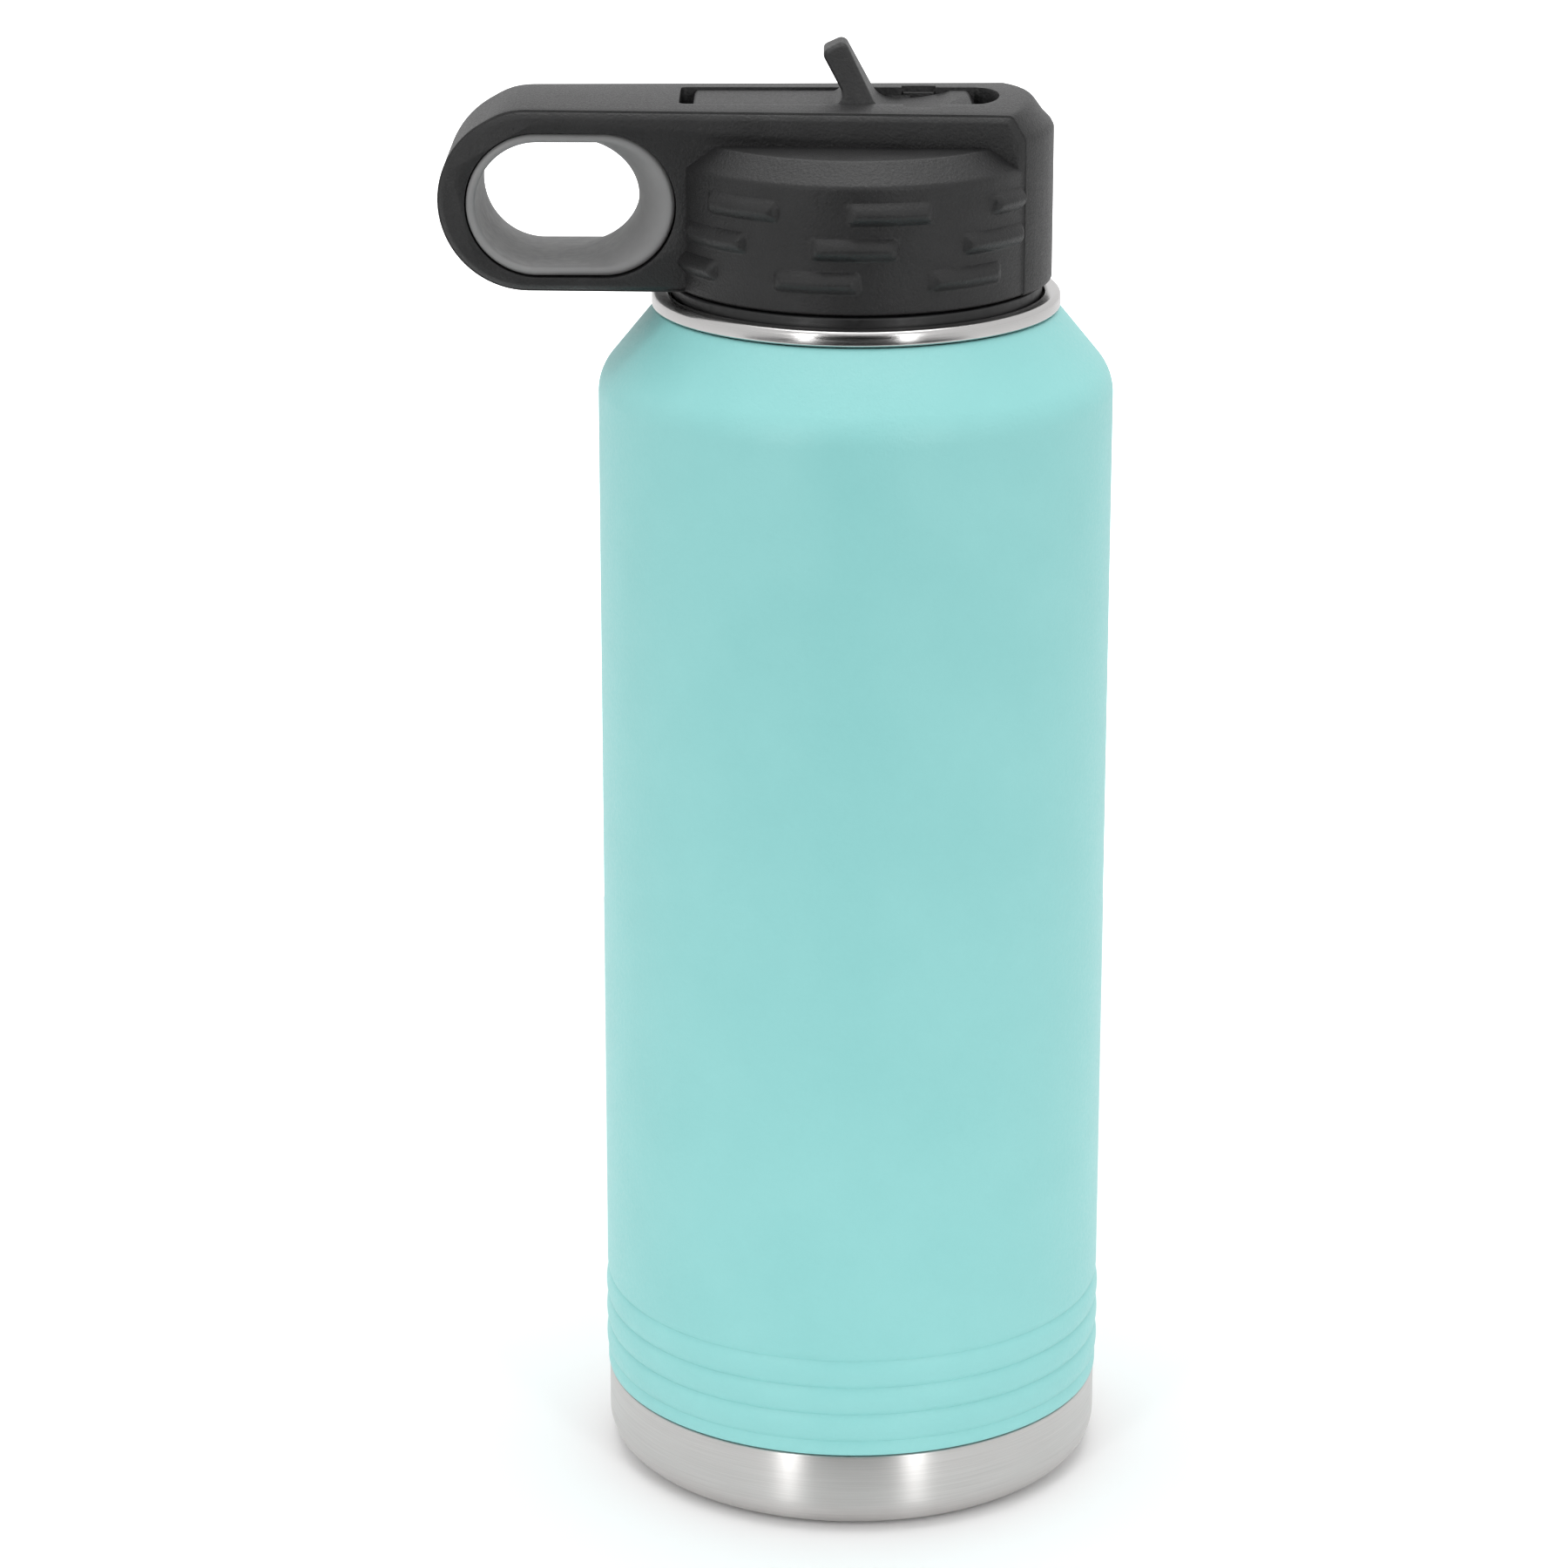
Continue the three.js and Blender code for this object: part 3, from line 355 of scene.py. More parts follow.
def rod_across(name, radius, half, x, z, facets=64):
    """A round bar along Y, for cutting or joining."""
    return prism(name, arc(x, z, radius, 0, TAU, facets)[:-1], -half, half, across="Y")


def rod_up(name, radius, low, high, x=0.0, facets=64):
    """A round bar along Z."""
    return prism(name, arc(x, 0, radius, 0, TAU, facets)[:-1], low, high)


def block(name, x0, x1, y0, y1, z0, z1):
    return prism(name, np.array([(x0, y0), (x1, y0), (x1, y1), (x0, y1)]), z0, z1)


def bake(obj):
    """Replaces an object's mesh by its mesh with modifiers applied."""
    graph = bpy.context.evaluated_depsgraph_get()
    done = bpy.data.meshes.new_from_object(obj.evaluated_get(graph))
    obj.modifiers.clear()
    obj.data = done
    return obj


def combine(target, tool, operation="DIFFERENCE"):
    """Cuts a tool out of a piece, or joins it on, and removes the tool."""
    change = target.modifiers.new(operation, "BOOLEAN")
    change.operation = operation
    change.solver = "EXACT"
    change.object = tool
    bake(target)
    bpy.data.objects.remove(tool)
    tidy_mesh(target)
    return target


def soften(obj, width, angle=40, segments=2):
    """Rounds the sharp edges of a piece."""
    bevel = obj.modifiers.new("soft_edges", "BEVEL")
    bevel.width = width * MM
    bevel.segments = segments
    bevel.limit_method = "ANGLE"
    bevel.angle_limit = math.radians(angle)
    bake(obj)
    tidy_mesh(obj)
    return obj


def place(obj, body, slot, *nodes):
    """Hands a piece to a body, gives it the material of its slot and hides its CAD nodes."""
    obj.data.materials.clear()
    obj.data.materials.append(SLOT_MATERIALS[slot])
    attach(obj, body)
    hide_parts(*nodes)
    return obj


# ---------------------------------------------------------------- materials
NOISE_LOW = 0.3     # most of a noise texture's values lie between these two
NOISE_HIGH = 0.7


class Recipe:
    """A material with a principled shader and short calls to add nodes."""

    def __init__(self, name, color, roughness, metallic=0.0):
        self.material = bpy.data.materials.new(name)
        self.material.use_nodes = True
        self.tree = self.material.node_tree
        self.shader = self.tree.nodes["Principled BSDF"]
        self.set("Base Color", (*color, 1))
        self.set("Roughness", roughness)
        self.set("Metallic", metallic)
        self.material.diffuse_color = (*color, 1)
        self.place = self.tree.nodes.new("ShaderNodeTexCoord").outputs["Object"]

    def set(self, socket, value):
        self.shader.inputs[socket].default_value = value

    def noise(self, scale, detail=2, stretch=(1, 1, 1), rough=0.5):
        """Noise over the object, with features of about 1/scale metres."""
        mapping = self.tree.nodes.new("ShaderNodeMapping")
        mapping.inputs["Scale"].default_value = stretch
        texture = self.tree.nodes.new("ShaderNodeTexNoise")
        texture.inputs["Scale"].default_value = scale
        texture.inputs["Detail"].default_value = detail
        texture.inputs["Roughness"].default_value = rough
        self.tree.links.new(self.place, mapping.inputs["Vector"])
        self.tree.links.new(mapping.outputs["Vector"], texture.inputs["Vector"])
        return texture.outputs["Fac"]

    def ramp(self, source, low, high):
        """Blends from one colour to another over a noise texture's values."""
        node = self.tree.nodes.new("ShaderNodeValToRGB")
        node.color_ramp.elements[0].position = NOISE_LOW
        node.color_ramp.elements[0].color = (*low, 1)
        node.color_ramp.elements[1].position = NOISE_HIGH
        node.color_ramp.elements[1].color = (*high, 1)
        self.tree.links.new(source, node.inputs["Fac"])
        return node.outputs["Color"]

    def range(self, source, low, high):
        """Maps a noise texture's values to low..high."""
        node = self.tree.nodes.new("ShaderNodeMapRange")
        node.inputs["From Min"].default_value = NOISE_LOW
        node.inputs["From Max"].default_value = NOISE_HIGH
        node.inputs["To Min"].default_value = low
        node.inputs["To Max"].default_value = high
        self.tree.links.new(source, node.inputs["Value"])
        return node.outputs["Result"]

    def feed(self, socket, source):
        self.tree.links.new(source, self.shader.inputs[socket])

    def bump(self, source, height_mm, strength, after=None):
        """Relief of about the given height; a second bump is laid over the first."""
        node = self.tree.nodes.new("ShaderNodeBump")
        node.inputs["Distance"].default_value = height_mm * MM
        node.inputs["Strength"].default_value = strength
        self.tree.links.new(source, node.inputs["Height"])
        if after:
            self.tree.links.new(after, node.inputs["Normal"])
        self.feed("Normal", node.outputs["Normal"])
        return node.outputs["Normal"]


def powder_coat():
    """Teal powder coat: an orange-peel skin with fine speckle."""
    mix = Recipe("teal_powder_coat", (0.27, 0.625, 0.612), 0.42)
    tone = mix.noise(60, detail=3)
    mix.feed("Base Color", mix.ramp(tone, low=(0.262, 0.615, 0.602), high=(0.278, 0.635, 0.622)))
    mix.feed("Roughness", mix.range(mix.noise(1500), low=0.36, high=0.5))
    peel = mix.bump(mix.noise(1100), height_mm=0.07, strength=0.9)
    mix.bump(mix.noise(2800, detail=1), height_mm=0.03, strength=0.9, after=peel)
    return mix.material


def brushed_band():
    """Bare steel with fine brushing that runs around the bottle."""
    mix = Recipe("brushed_steel_band", (0.6, 0.59, 0.58), 0.28, metallic=1.0)
    lines = mix.noise(1.0, detail=4, stretch=(90, 90, 9000), rough=0.7)
    tone = mix.noise(1.0, detail=3, stretch=(60, 60, 4500))
    mix.feed("Base Color", mix.ramp(tone, low=(0.55, 0.535, 0.525), high=(0.61, 0.595, 0.585)))
    mix.feed("Roughness", mix.range(lines, low=0.3, high=0.38))
    mix.bump(lines, height_mm=0.012, strength=0.5)
    mix.set("Anisotropic", 0.95)
    mix.set("Anisotropic Rotation", 0.25)
    tangent = mix.tree.nodes.new("ShaderNodeTangent")
    tangent.direction_type = "RADIAL"
    tangent.axis = "Z"
    mix.feed("Tangent", tangent.outputs["Tangent"])
    return mix.material


def polished_steel():
    """Turned and polished steel for the mouth ring and the liner."""
    mix = Recipe("polished_steel", (0.56, 0.55, 0.545), 0.2, metallic=1.0)
    lines = mix.noise(1.0, detail=3, stretch=(70, 70, 6000))
    mix.feed("Roughness", mix.range(lines, low=0.15, high=0.27))
    mix.bump(lines, height_mm=0.006, strength=0.4)
    return mix.material


def black_plastic():
    """Fine-grained moulded plastic."""
    mix = Recipe("black_plastic", (0.008, 0.008, 0.0084), 0.44)
    tone = mix.noise(140, detail=4)
    mix.feed("Base Color", mix.ramp(tone, low=(0.0055, 0.0055, 0.0058), high=(0.01, 0.01, 0.0104)))
    mix.feed("Roughness", mix.range(mix.noise(3000), low=0.36, high=0.52))
    mix.bump(mix.noise(1900, detail=3, rough=0.65), height_mm=0.15, strength=0.9)
    mix.set("Specular IOR Level", 0.44)
    return mix.material


def grey_rubber():
    """Soft grey lining of the finger hole."""
    mix = Recipe("grey_grip_rubber", (0.225, 0.225, 0.225), 0.6)
    tone = mix.noise(90, detail=4)
    mix.feed("Base Color", mix.ramp(tone, low=(0.205, 0.205, 0.206), high=(0.24, 0.24, 0.239)))
    mix.feed("Roughness", mix.range(mix.noise(700), low=0.52, high=0.68))
    mix.bump(mix.noise(1700), height_mm=0.015, strength=0.5)
    return mix.material


def soft_material(name, color, roughness, grain):
    """Silicone, foam and other small plain pieces, with a slightly uneven tone and gloss."""
    mix = Recipe(name, color, roughness)
    lighter = tuple(min(1.0, c * 1.25 + 0.002) for c in color)
    mix.feed("Base Color", mix.ramp(mix.noise(120, detail=3), low=color, high=lighter))
    mix.feed("Roughness", mix.range(mix.noise(900), low=roughness - 0.06, high=roughness + 0.08))
    mix.bump(mix.noise(grain), height_mm=0.01, strength=0.5)
    return mix.material


SLOT_MATERIALS = {
    "teal_powder_coat": powder_coat(),
    "brushed_steel_band": brushed_band(),
    "polished_steel": polished_steel(),
    "black_plastic": black_plastic(),
    "grey_grip_rubber": grey_rubber(),
    "black_silicone": soft_material("black_silicone", (0.004, 0.004, 0.0044), 0.42, 900),
    "clear_silicone": soft_material("clear_silicone", (0.6, 0.62, 0.6), 0.42, 900),
    "clear_straw": soft_material("clear_straw", (0.7, 0.75, 0.75), 0.25, 500),
    "white_foam": soft_material("white_foam", (0.8, 0.79, 0.75), 0.8, 350),
    "sealing_glass": soft_material("sealing_glass", (0.05, 0.06, 0.05), 0.15, 300),
    "getter_alloy": soft_material("getter_alloy", (0.14, 0.14, 0.135), 0.7, 1200),
}


def dress_cad_nodes():
    """Gives each CAD node the material of its slot."""
    for part in frame["record"]["subparts"]:
        node = frame["nodes"][part["node"]]
        node.data.materials.clear()
        node.data.materials.append(SLOT_MATERIALS[part["material_slot"]])


# ---------------------------------------------------------------- bottle
def rib_curve():
    """The painted wall's ribs, from the lowest crease to the highest."""
    points = []
    for low, high in zip(RIB_CREASES_Z, RIB_CREASES_Z[1:]):
        for k in range(RIB_STEPS):
            t = k / RIB_STEPS
            swell = math.sin(math.pi * t) ** RIB_FULLNESS
            points.append((RIB_CREASE_R + (RIB_CREST_R - RIB_CREASE_R) * swell, low + (high - low) * t))
    return points + [(RIB_CREASE_R, RIB_CREASES_Z[-1])]


def shell_skin():
    """The painted wall: ribs, straight body, rounded shoulder and cone."""
    paint_edge = [(0.35, 0), (0.08, 0.12), (0, 0.4)]    # how far in and how high its rounded edge is
    bottom_z = SHELL_LOW[2]
    outside = [(SPIGOT_R, bottom_z), (SPIGOT_R, PAINT_EDGE_Z)]
    outside += [(BODY_R - inset, PAINT_EDGE_Z + rise) for inset, rise in paint_edge]
    outside += [(BODY_R, RIB_CREASES_Z[0] - 1.0)] + rib_curve()
    outside += [(BODY_R - 0.1, RIB_CREASES_Z[-1] + 0.7), (BODY_R, RIB_CREASES_Z[-1] + 1.6)]
    curve = arc(BODY_R - SHOULDER_ARC_R, SHOULDER_Z, SHOULDER_ARC_R, 0, SHOULDER_TILT, 14)
    cone_r, cone_z = curve[-1]
    top_z = CONE_HIGH[2]
    top_r = cone_r - (top_z - cone_z) * math.tan(SHOULDER_TILT)
    outside += [tuple(p) for p in curve] + [(top_r + 0.12, top_z - 0.15), (top_r - 0.1, top_z)]
    inner_r = BODY_R - SHELL_WALL
    inner_spigot_r = SPIGOT_R - SHELL_WALL
    inside = [(top_r - SHELL_WALL - 0.1, top_z), (cone_r - 0.8, cone_z - 0.4), (inner_r, SHOULDER_Z - 1),
              (inner_r, PAINT_EDGE_Z + 1), (inner_spigot_r, PAINT_EDGE_Z + 0.6), (inner_spigot_r, bottom_z)]
    skin = turned("painted_wall", outside + inside, BODY_FACETS, smooth_angle=50)
    return place(skin, "bottle", "teal_powder_coat", "outer_shell", "shoulder_cone")


def base_skin():
    """The bare steel base: a straight band, a rounded corner and a turned bottom."""
    top = BASE_HIGH[2]
    corner_r = BASE_R - BASE_CORNER_R
    profile = [(0, 0)]
    for start_r, end_r in BOTTOM_GROOVES:
        profile += [(start_r, 0), (start_r + GROOVE_SLOPE, GROOVE_DEPTH),
                    (end_r - GROOVE_SLOPE, GROOVE_DEPTH), (end_r, 0)]
    profile += [tuple(p) for p in arc(corner_r, BASE_CORNER_R, BASE_CORNER_R, -math.pi / 2, 0, 20)]
    profile += [(BASE_R, top - 0.3), (BASE_R - 0.1, top - 0.08), (BASE_R - 0.3, top)]
    profile += [(BASE_R - BASE_WALL, top)]
    inner_corner = arc(corner_r, BASE_CORNER_R, BASE_CORNER_R - BASE_WALL, 0, -math.pi / 2, 8)
    profile += [tuple(p) for p in inner_corner] + [(0, BASE_WALL)]
    skin = turned("steel_base", profile, BODY_FACETS, smooth_angle=50)
    return place(skin, "bottle", "brushed_steel_band", "base_cup")


def thread_ridge(name, root_r, height, start_z, steps=96):
    """One turn of right-handed thread, faded out at both ends; a negative height points inward."""
    sunk = root_r - math.copysign(THREAD_SINK, height)
    points = []
    for i in range(steps + 1):
        a = TAU * i / steps
        z = start_z + THREAD_PITCH * i / steps
        fade = min(1.0, min(i, steps - i) / THREAD_FADE + 0.12)
        upper = [(sunk, THREAD_ROOT_W / 2), (root_r + height * fade * 0.75, THREAD_FLANK_W / 2),
                 (root_r + height * fade, THREAD_CREST_W / 2)]
        lower = [(r, -half) for r, half in upper]
        for r, rise in lower + upper[::-1]:
            points.append((r * math.cos(a), r * math.sin(a), z + rise))
    count = len(points) // (steps + 1)
    inward = height < 0
    faces = []
    for i in range(steps):
        for k in range(count):
            n = (k + 1) % count
            a, b = count * i, count * (i + 1)
            ring = [a + k, a + n, b + n, b + k]
            faces.append(ring if inward else ring[::-1])
    start = list(range(count))
    end = [count * steps + k for k in range(count)]
    faces.append(start[::-1] if inward else start)
    faces.append(end if inward else end[::-1])
    return make_object(name, points, faces)


def liner_skin():
    """The inner wall with its threaded neck and the flat-sided mouth ring."""
    bottom_z = LINER_LOW[2]
    neck_outer = NECK_R + NECK_WALL
    lip = rounded([(neck_outer, LIP_Z - LIP_H, 0), (LIP_R, LIP_Z - LIP_H, 0.5), (LIP_R - 0.05, LIP_Z, 1.1),
                   (NECK_R + 1, LIP_Z, 0)], closed=False, steps=8)
    profile = [(LINER_R, bottom_z), (LINER_R, LINER_SHOULDER_Z), (neck_outer, NECK_Z)]
    profile += [tuple(p) for p in lip]
    profile += [tuple(p) for p in arc(neck_outer, LIP_Z - NECK_WALL, NECK_WALL, math.pi / 2, math.pi, 5)]
    profile += [(NECK_R, NECK_Z), (LINER_R - LINER_WALL, LINER_SHOULDER_Z - 0.3),
                (LINER_R - LINER_WALL, bottom_z)]
    skin = turned("mouth_ring_and_liner", profile, facets=224)
    combine(skin, thread_ridge("neck_thread", NECK_R, -THREAD_DEPTH, THREAD_Z), "UNION")
    return place(skin, "bottle", "polished_steel", "inner_liner", "mouth_ring")


# ---------------------------------------------------------------- lid
def grip_middles():
    """Height and angle of every grip bar: three in a row at the front and three at the back."""
    return [(row_z, math.radians(side + turn + step * GRIP_PITCH))
            for row_z, turn in GRIP_ROWS for side in (-90, 90) for step in (-1, 0, 1)]


def grip_height(angle, z):
    """How far the cap's side stands proud at a point, from its three rows of grip bars."""
    proud = np.zeros(np.broadcast(angle, z).shape)
    corner = GRIP_H / 2 - 0.05
    for row_z, middle in grip_middles():
        along = np.abs((angle - middle + math.pi) % TAU - math.pi) * CAP_R
        across = np.abs(z - row_z)
        u = np.maximum(along - (CAP_R * GRIP_SPAN / 2 - corner), 0)
        v = np.maximum(across - (GRIP_H / 2 - corner), 0)
        distance = (u ** GRIP_SQUARENESS + v ** GRIP_SQUARENESS) ** (1 / GRIP_SQUARENESS)
        depth = np.clip(1 - distance / corner, 0, 1)
        proud = np.maximum(proud, GRIP_PROUD * (1 - (1 - depth) ** GRIP_RIDGE))
    under_bar = (np.cos(angle) > 0) & (np.abs(CAP_R * np.sin(angle)) < BAR_END_HALF + SEAM)
    return np.where(under_bar, 0.0, proud)


def cap_solid():
    """The round cap with its grip bars, as a closed solid."""
    angles = TAU * np.arange(CAP_FACETS) / CAP_FACETS
    side = rounded([(CAP_R - 1.2, CAP_Z, 0), (CAP_R, CAP_Z, 0.7), (CAP_R, CAP_SHOULDER_Z, 1.3),
                    (CAP_TOP_R, CAP_TOP_Z, 0.9), (CAP_TOP_R - 4, CAP_TOP_Z, 0)], closed=False)
    rows = []
    for a, b in zip(side, side[1:]):
        parts = max(1, math.ceil(np.linalg.norm(b - a) / CAP_ROW_STEP))
        rows.extend(a + (b - a) * k / parts for k in range(parts))
    rows.append(side[-1])
    points = [(0, 0, CAP_Z)]
    for r, z in rows:
        level = np.full(CAP_FACETS, z)
        on_side = r > CAP_R - 0.3
        radius = r + (grip_height(angles, level) if on_side else np.zeros(CAP_FACETS))
        points.extend(np.column_stack([radius * np.cos(angles), radius * np.sin(angles), level]))
    points.append((0, 0, CAP_TOP_Z))
    top = 1 + (len(rows) - 1) * CAP_FACETS
    faces = []
    for k in range(CAP_FACETS):
        n = (k + 1) % CAP_FACETS
        faces.append([0, 1 + n, 1 + k])
        for i in range(len(rows) - 1):
            a, b = 1 + i * CAP_FACETS, 1 + (i + 1) * CAP_FACETS
            faces.append([a + k, a + n, b + n, b + k])
        faces.append([top + k, top + n, len(points) - 1])
    return make_object("cap", points, faces)


def bow_radius():
    """The radius of the bar's bowed right end, from its sag over the bar's width."""
    sag = BAR_END_X - BAR_CORNER_X
    return (BAR_END_HALF ** 2 + sag ** 2) / (2 * sag)


def bar_half(x, z):
    """Half the bar's thickness: thin at the loop, wider towards its right end."""
    share = (x - LOOP_TIP_X) / (BAR_CORNER_X - LOOP_TIP_X)
    return BAR_LOOP_HALF + (BAR_END_HALF - BAR_LOOP_HALF) * share


def bar_bend(points):
    """Crowns the bar's top and bows its right end."""
    x, y, z = points.T
    radius = bow_radius()
    bow = BAR_END_X - radius + np.sqrt(np.maximum(radius ** 2 - y ** 2, 0))
    share = np.clip((x - BAR_BOW_START_X) / (BAR_END_X - BAR_BOW_START_X), 0, 1)
    near_top = smooth_step((z - (BAR_TOP_Z - BAR_CROWN_EDGE)) / BAR_CROWN_EDGE)
    crown = BAR_CROWN * (1 - (y / BAR_END_HALF) ** 2) * near_top
    return np.column_stack([x - share * (BAR_END_X - bow), y, z + crown])


def bar_solid():
    """The crossing bar with its half-round loop end and chamfered right end."""
    loop_x = LOOP_TIP_X + LOOP_R
    loop_z = CAP_Z + LOOP_R
    right = rounded([(loop_x, CAP_Z, 0), (BAR_END_X, CAP_Z, 0.8),
                     (BAR_END_X, BAR_TOP_Z - BAR_CHAMFER, 2.2),
                     (BAR_END_X - BAR_CHAMFER, BAR_TOP_Z, 3.0), (loop_x, BAR_TOP_Z, 0)], closed=False)
    left = arc(loop_x, loop_z, LOOP_R, math.pi / 2, 1.5 * math.pi, 40)
    outline = resampled(np.vstack([right, left[1:-1]]), OUTLINE_STEP)
    step = 0.34    # a small ledge between the bevel and the rim
    bevel = [(0.0, 1.25), (0.1, 1.05), (0.5, 0.55), (0.75, step), (0.95, step), (0.98, 0.0)]
    return slab("bar", outline, bar_half, bevel, rows=12, bend=bar_bend, smooth_angle=28)


def hole_outline():
    """The finger hole from the front: two half circles joined by straight sides."""
    left, right = HOLE_LEFT_X + HOLE_R, HOLE_RIGHT_X - HOLE_R
    return np.vstack([arc(right, HOLE_Z, HOLE_R, -math.pi / 2, math.pi / 2, 36),
                      arc(left, HOLE_Z, HOLE_R, math.pi / 2, 1.5 * math.pi, 36)])


def slot_outline():
    """The slot from above: rounded corners at its left and an oval right end."""
    turn = np.linspace(-math.pi / 2, math.pi / 2, 33)
    end = np.column_stack([SLOT_BEND_X + (SLOT_RIGHT_X - SLOT_BEND_X) * np.cos(turn),
                           SLOT_HALF * np.sin(turn)])
    corners = rounded([(SLOT_BEND_X, SLOT_HALF, 0), (SLOT_LEFT_X, SLOT_HALF, SLOT_CORNER_R),
                       (SLOT_LEFT_X, -SLOT_HALF, SLOT_CORNER_R), (SLOT_BEND_X, -SLOT_HALF, 0)],
                      closed=False)
    return np.vstack([corners[1:-1], end])


def lid_skin():
    """The moulded lid shell: cap, bar, loop, spout slot, bearings and hollow inside."""
    bar = bar_solid()
    sky = BAR_TOP_Z + 5
    pivot_x, pivot_z = PIVOT[0], PIVOT[2]
    trunnion_room = TRUNNION_HALF + BEARING_GAP
    combine(bar, prism("slot", slot_outline(), SLOT_FLOOR_Z, sky))
    combine(bar, rod_across("pocket", POCKET_R, SLOT_HALF - 0.01, pivot_x, pivot_z, 96))
    combine(bar, block("keyway", pivot_x - KEEPER_W / 2, pivot_x + KEEPER_W / 2,
                       -trunnion_room, trunnion_room, pivot_z, sky))
    combine(bar, prism("hole", hole_outline(), -30, 30, across="Y"))
    soften(bar, 0.3)
    combine(bar, rod_across("bearing", TRUNNION_R + BEARING_GAP, trunnion_room - 0.02, pivot_x, pivot_z))
    combine(bar, rod_up("seal_bore", SEAL_BORE_R, BOSS_Z - 1, pivot_z - ROTOR_R + 2, pivot_x))
    room = rod_up("room", CAP_ROOM_R, CAP_Z - 1, SLOT_FLOOR_Z - TROUGH_WALL, facets=96)
    combine(room, rod_across("rotor_trough", POCKET_R + TROUGH_WALL, TRUNNION_HALF + TROUGH_WALL,
                             pivot_x, pivot_z))
    combine(room, rod_up("boss", BOSS_R, BOSS_Z, sky, pivot_x))
    bar_room = room.copy()
    bar_room.data = room.data.copy()
    bpy.context.scene.collection.objects.link(bar_room)
    combine(bar, bar_room)
    cap = cap_solid()
    combine(cap, block("middle", -27, 27, -12, 12, CAP_Z - 5, sky))
    combine(cap, room)
    combine(bar, cap, "UNION")
    bar.name = "lid_moulding"
    return place(bar, "lid", "black_plastic", "lid_shell")


def insert_section():
    """The sleeve's section as (share of the wall from the bore outward, y) points."""
    outer_r = HOLE_R - 0.25
    bore_r = HOLE_R - INSERT_WALL
    lip_share = INSERT_LIP / (outer_r - bore_r)
    end = [(1 - 0.15 * lip_share, 0.3), (1 - lip_share, 0.0), (lip_share, 0.0), (0.3 * lip_share, 0.18)]
    front = [(share, inset - INSERT_HALF) for share, inset in end]
    bore = [(0.0, depth * (INSERT_HALF - INSERT_LIP)) for depth in np.linspace(-1, 1, 25)]
    back = [(share, INSERT_HALF - inset) for share, inset in reversed(end)]
    outer = [(1.0, INSERT_HALF - 0.7), (1.0, 0.7 - INSERT_HALF)]
    return outer_r, bore_r, front + bore + back + outer


def insert_skin():
    """The grey sleeve in the finger hole, with the rounded finger rest towards the cap."""
    around = 144
    outer_r, bore_r, rings = insert_section()
    left, right = HOLE_LEFT_X + HOLE_R, HOLE_RIGHT_X - HOLE_R
    rest_reach = right + bore_r - INSERT_HUMP - INSERT_REST_X
    points = []
    for i in range(around):
        a = TAU * (i + 0.5) / around
        c, s = math.cos(a), math.sin(a)
        centre = right if c > 0 else left
        for share, y in rings:
            bore_x = centre + bore_r * c
            outer_x = centre + outer_r * c
            if c > 0 and share < 0.9:
                swell = 1 - min(1.0, abs(y) / INSERT_HALF) ** INSERT_SWELL
                bore_x += (INSERT_REST_X + rest_reach * c - bore_x) * swell
            x = bore_x + (outer_x - bore_x) * share
            z = HOLE_Z + (bore_r + (outer_r - bore_r) * share) * s
            points.append((x, y, z))
    count = len(rings)
    faces = []
    for i in range(around):
        a, b = count * i, count * ((i + 1) % around)
        for k in range(count):
            n = (k + 1) % count
            faces.append([a + k, b + k, b + n, a + n])
    skin = make_object("finger_grip", points, faces, smooth_angle=50)
    return place(skin, "lid", "grey_grip_rubber", "grip_insert")


def curve_through(start, pull, end, steps):
    """A quadratic curve from start to end that leans towards the pull point."""
    t = np.linspace(0, 1, steps + 1)[:, None]
    start, pull, end = np.array(start), np.array(pull), np.array(end)
    return start * (1 - t) ** 2 + 2 * pull * t * (1 - t) + end * t ** 2


def spout_outline():
    """Side view: mouthpiece bar, finger scoop and the rotor with its small rounded rim."""
    rim = 0.7
    top = SPOUT_TOP_Z
    rim_angle = math.asin((top - PIVOT[2]) / ROTOR_R)
    rim_x = PIVOT[0] + ROTOR_R * math.cos(rim_angle)
    tuck_angle = -math.pi + math.asin((PIVOT[2] - SPOUT_BOTTOM_Z) / ROTOR_R)
    rotor = arc(PIVOT[0], PIVOT[2], ROTOR_R, tuck_angle, rim_angle - rim / ROTOR_R, 48)
    rounding = curve_through(rotor[-1], (rim_x, top), (rim_x - rim, top), 5)[1:]
    scoop = curve_through((SCOOP_RIGHT_X, top), (SCOOP_DEEP_X, top - SCOOP_PULL), (SCOOP_LEFT_X, top), 24)
    left = rounded([(SCOOP_LEFT_X - 0.5, top, 0), (SPOUT_LEFT_X, top, 0.9),
                    (SPOUT_LEFT_X, SPOUT_BOTTOM_Z, 1.3), (rotor[0][0] - 0.5, SPOUT_BOTTOM_Z, 0)],
                   closed=False)
    return resampled(np.vstack([rotor, rounding, scoop, left]), OUTLINE_STEP)


def tab_outline():
    """The finger tab from the side, leaning towards the loop, with a rounded foot on each side."""
    top = SPOUT_TOP_Z
    low = top - 1.6
    left_x, right_x = -7.5, 9.5
    return rounded([(left_x, low, 0), (right_x, low, 0), (right_x, top - 1.42, 0),
                    (3.75, top - 0.95, 4.2), (-2.15, TAB_TIP_Z, 1.3), (-6.25, TAB_TIP_Z - 2.0, 1.1),
                    (-1.35, top + 0.03, 2.0), (left_x, top - 0.02, 0)], steps=8)


def tab_half(x, z):
    """Half the tab's width: as wide as the spout at its foot and narrow at its tip."""
    foot = SPOUT_TOP_Z + TAB_FOOT_RISE
    share = max(0.0, (z - foot) / (TAB_TIP_Z - foot))
    return SPOUT_HALF - 0.02 - (SPOUT_HALF - TAB_TIP_HALF) * share


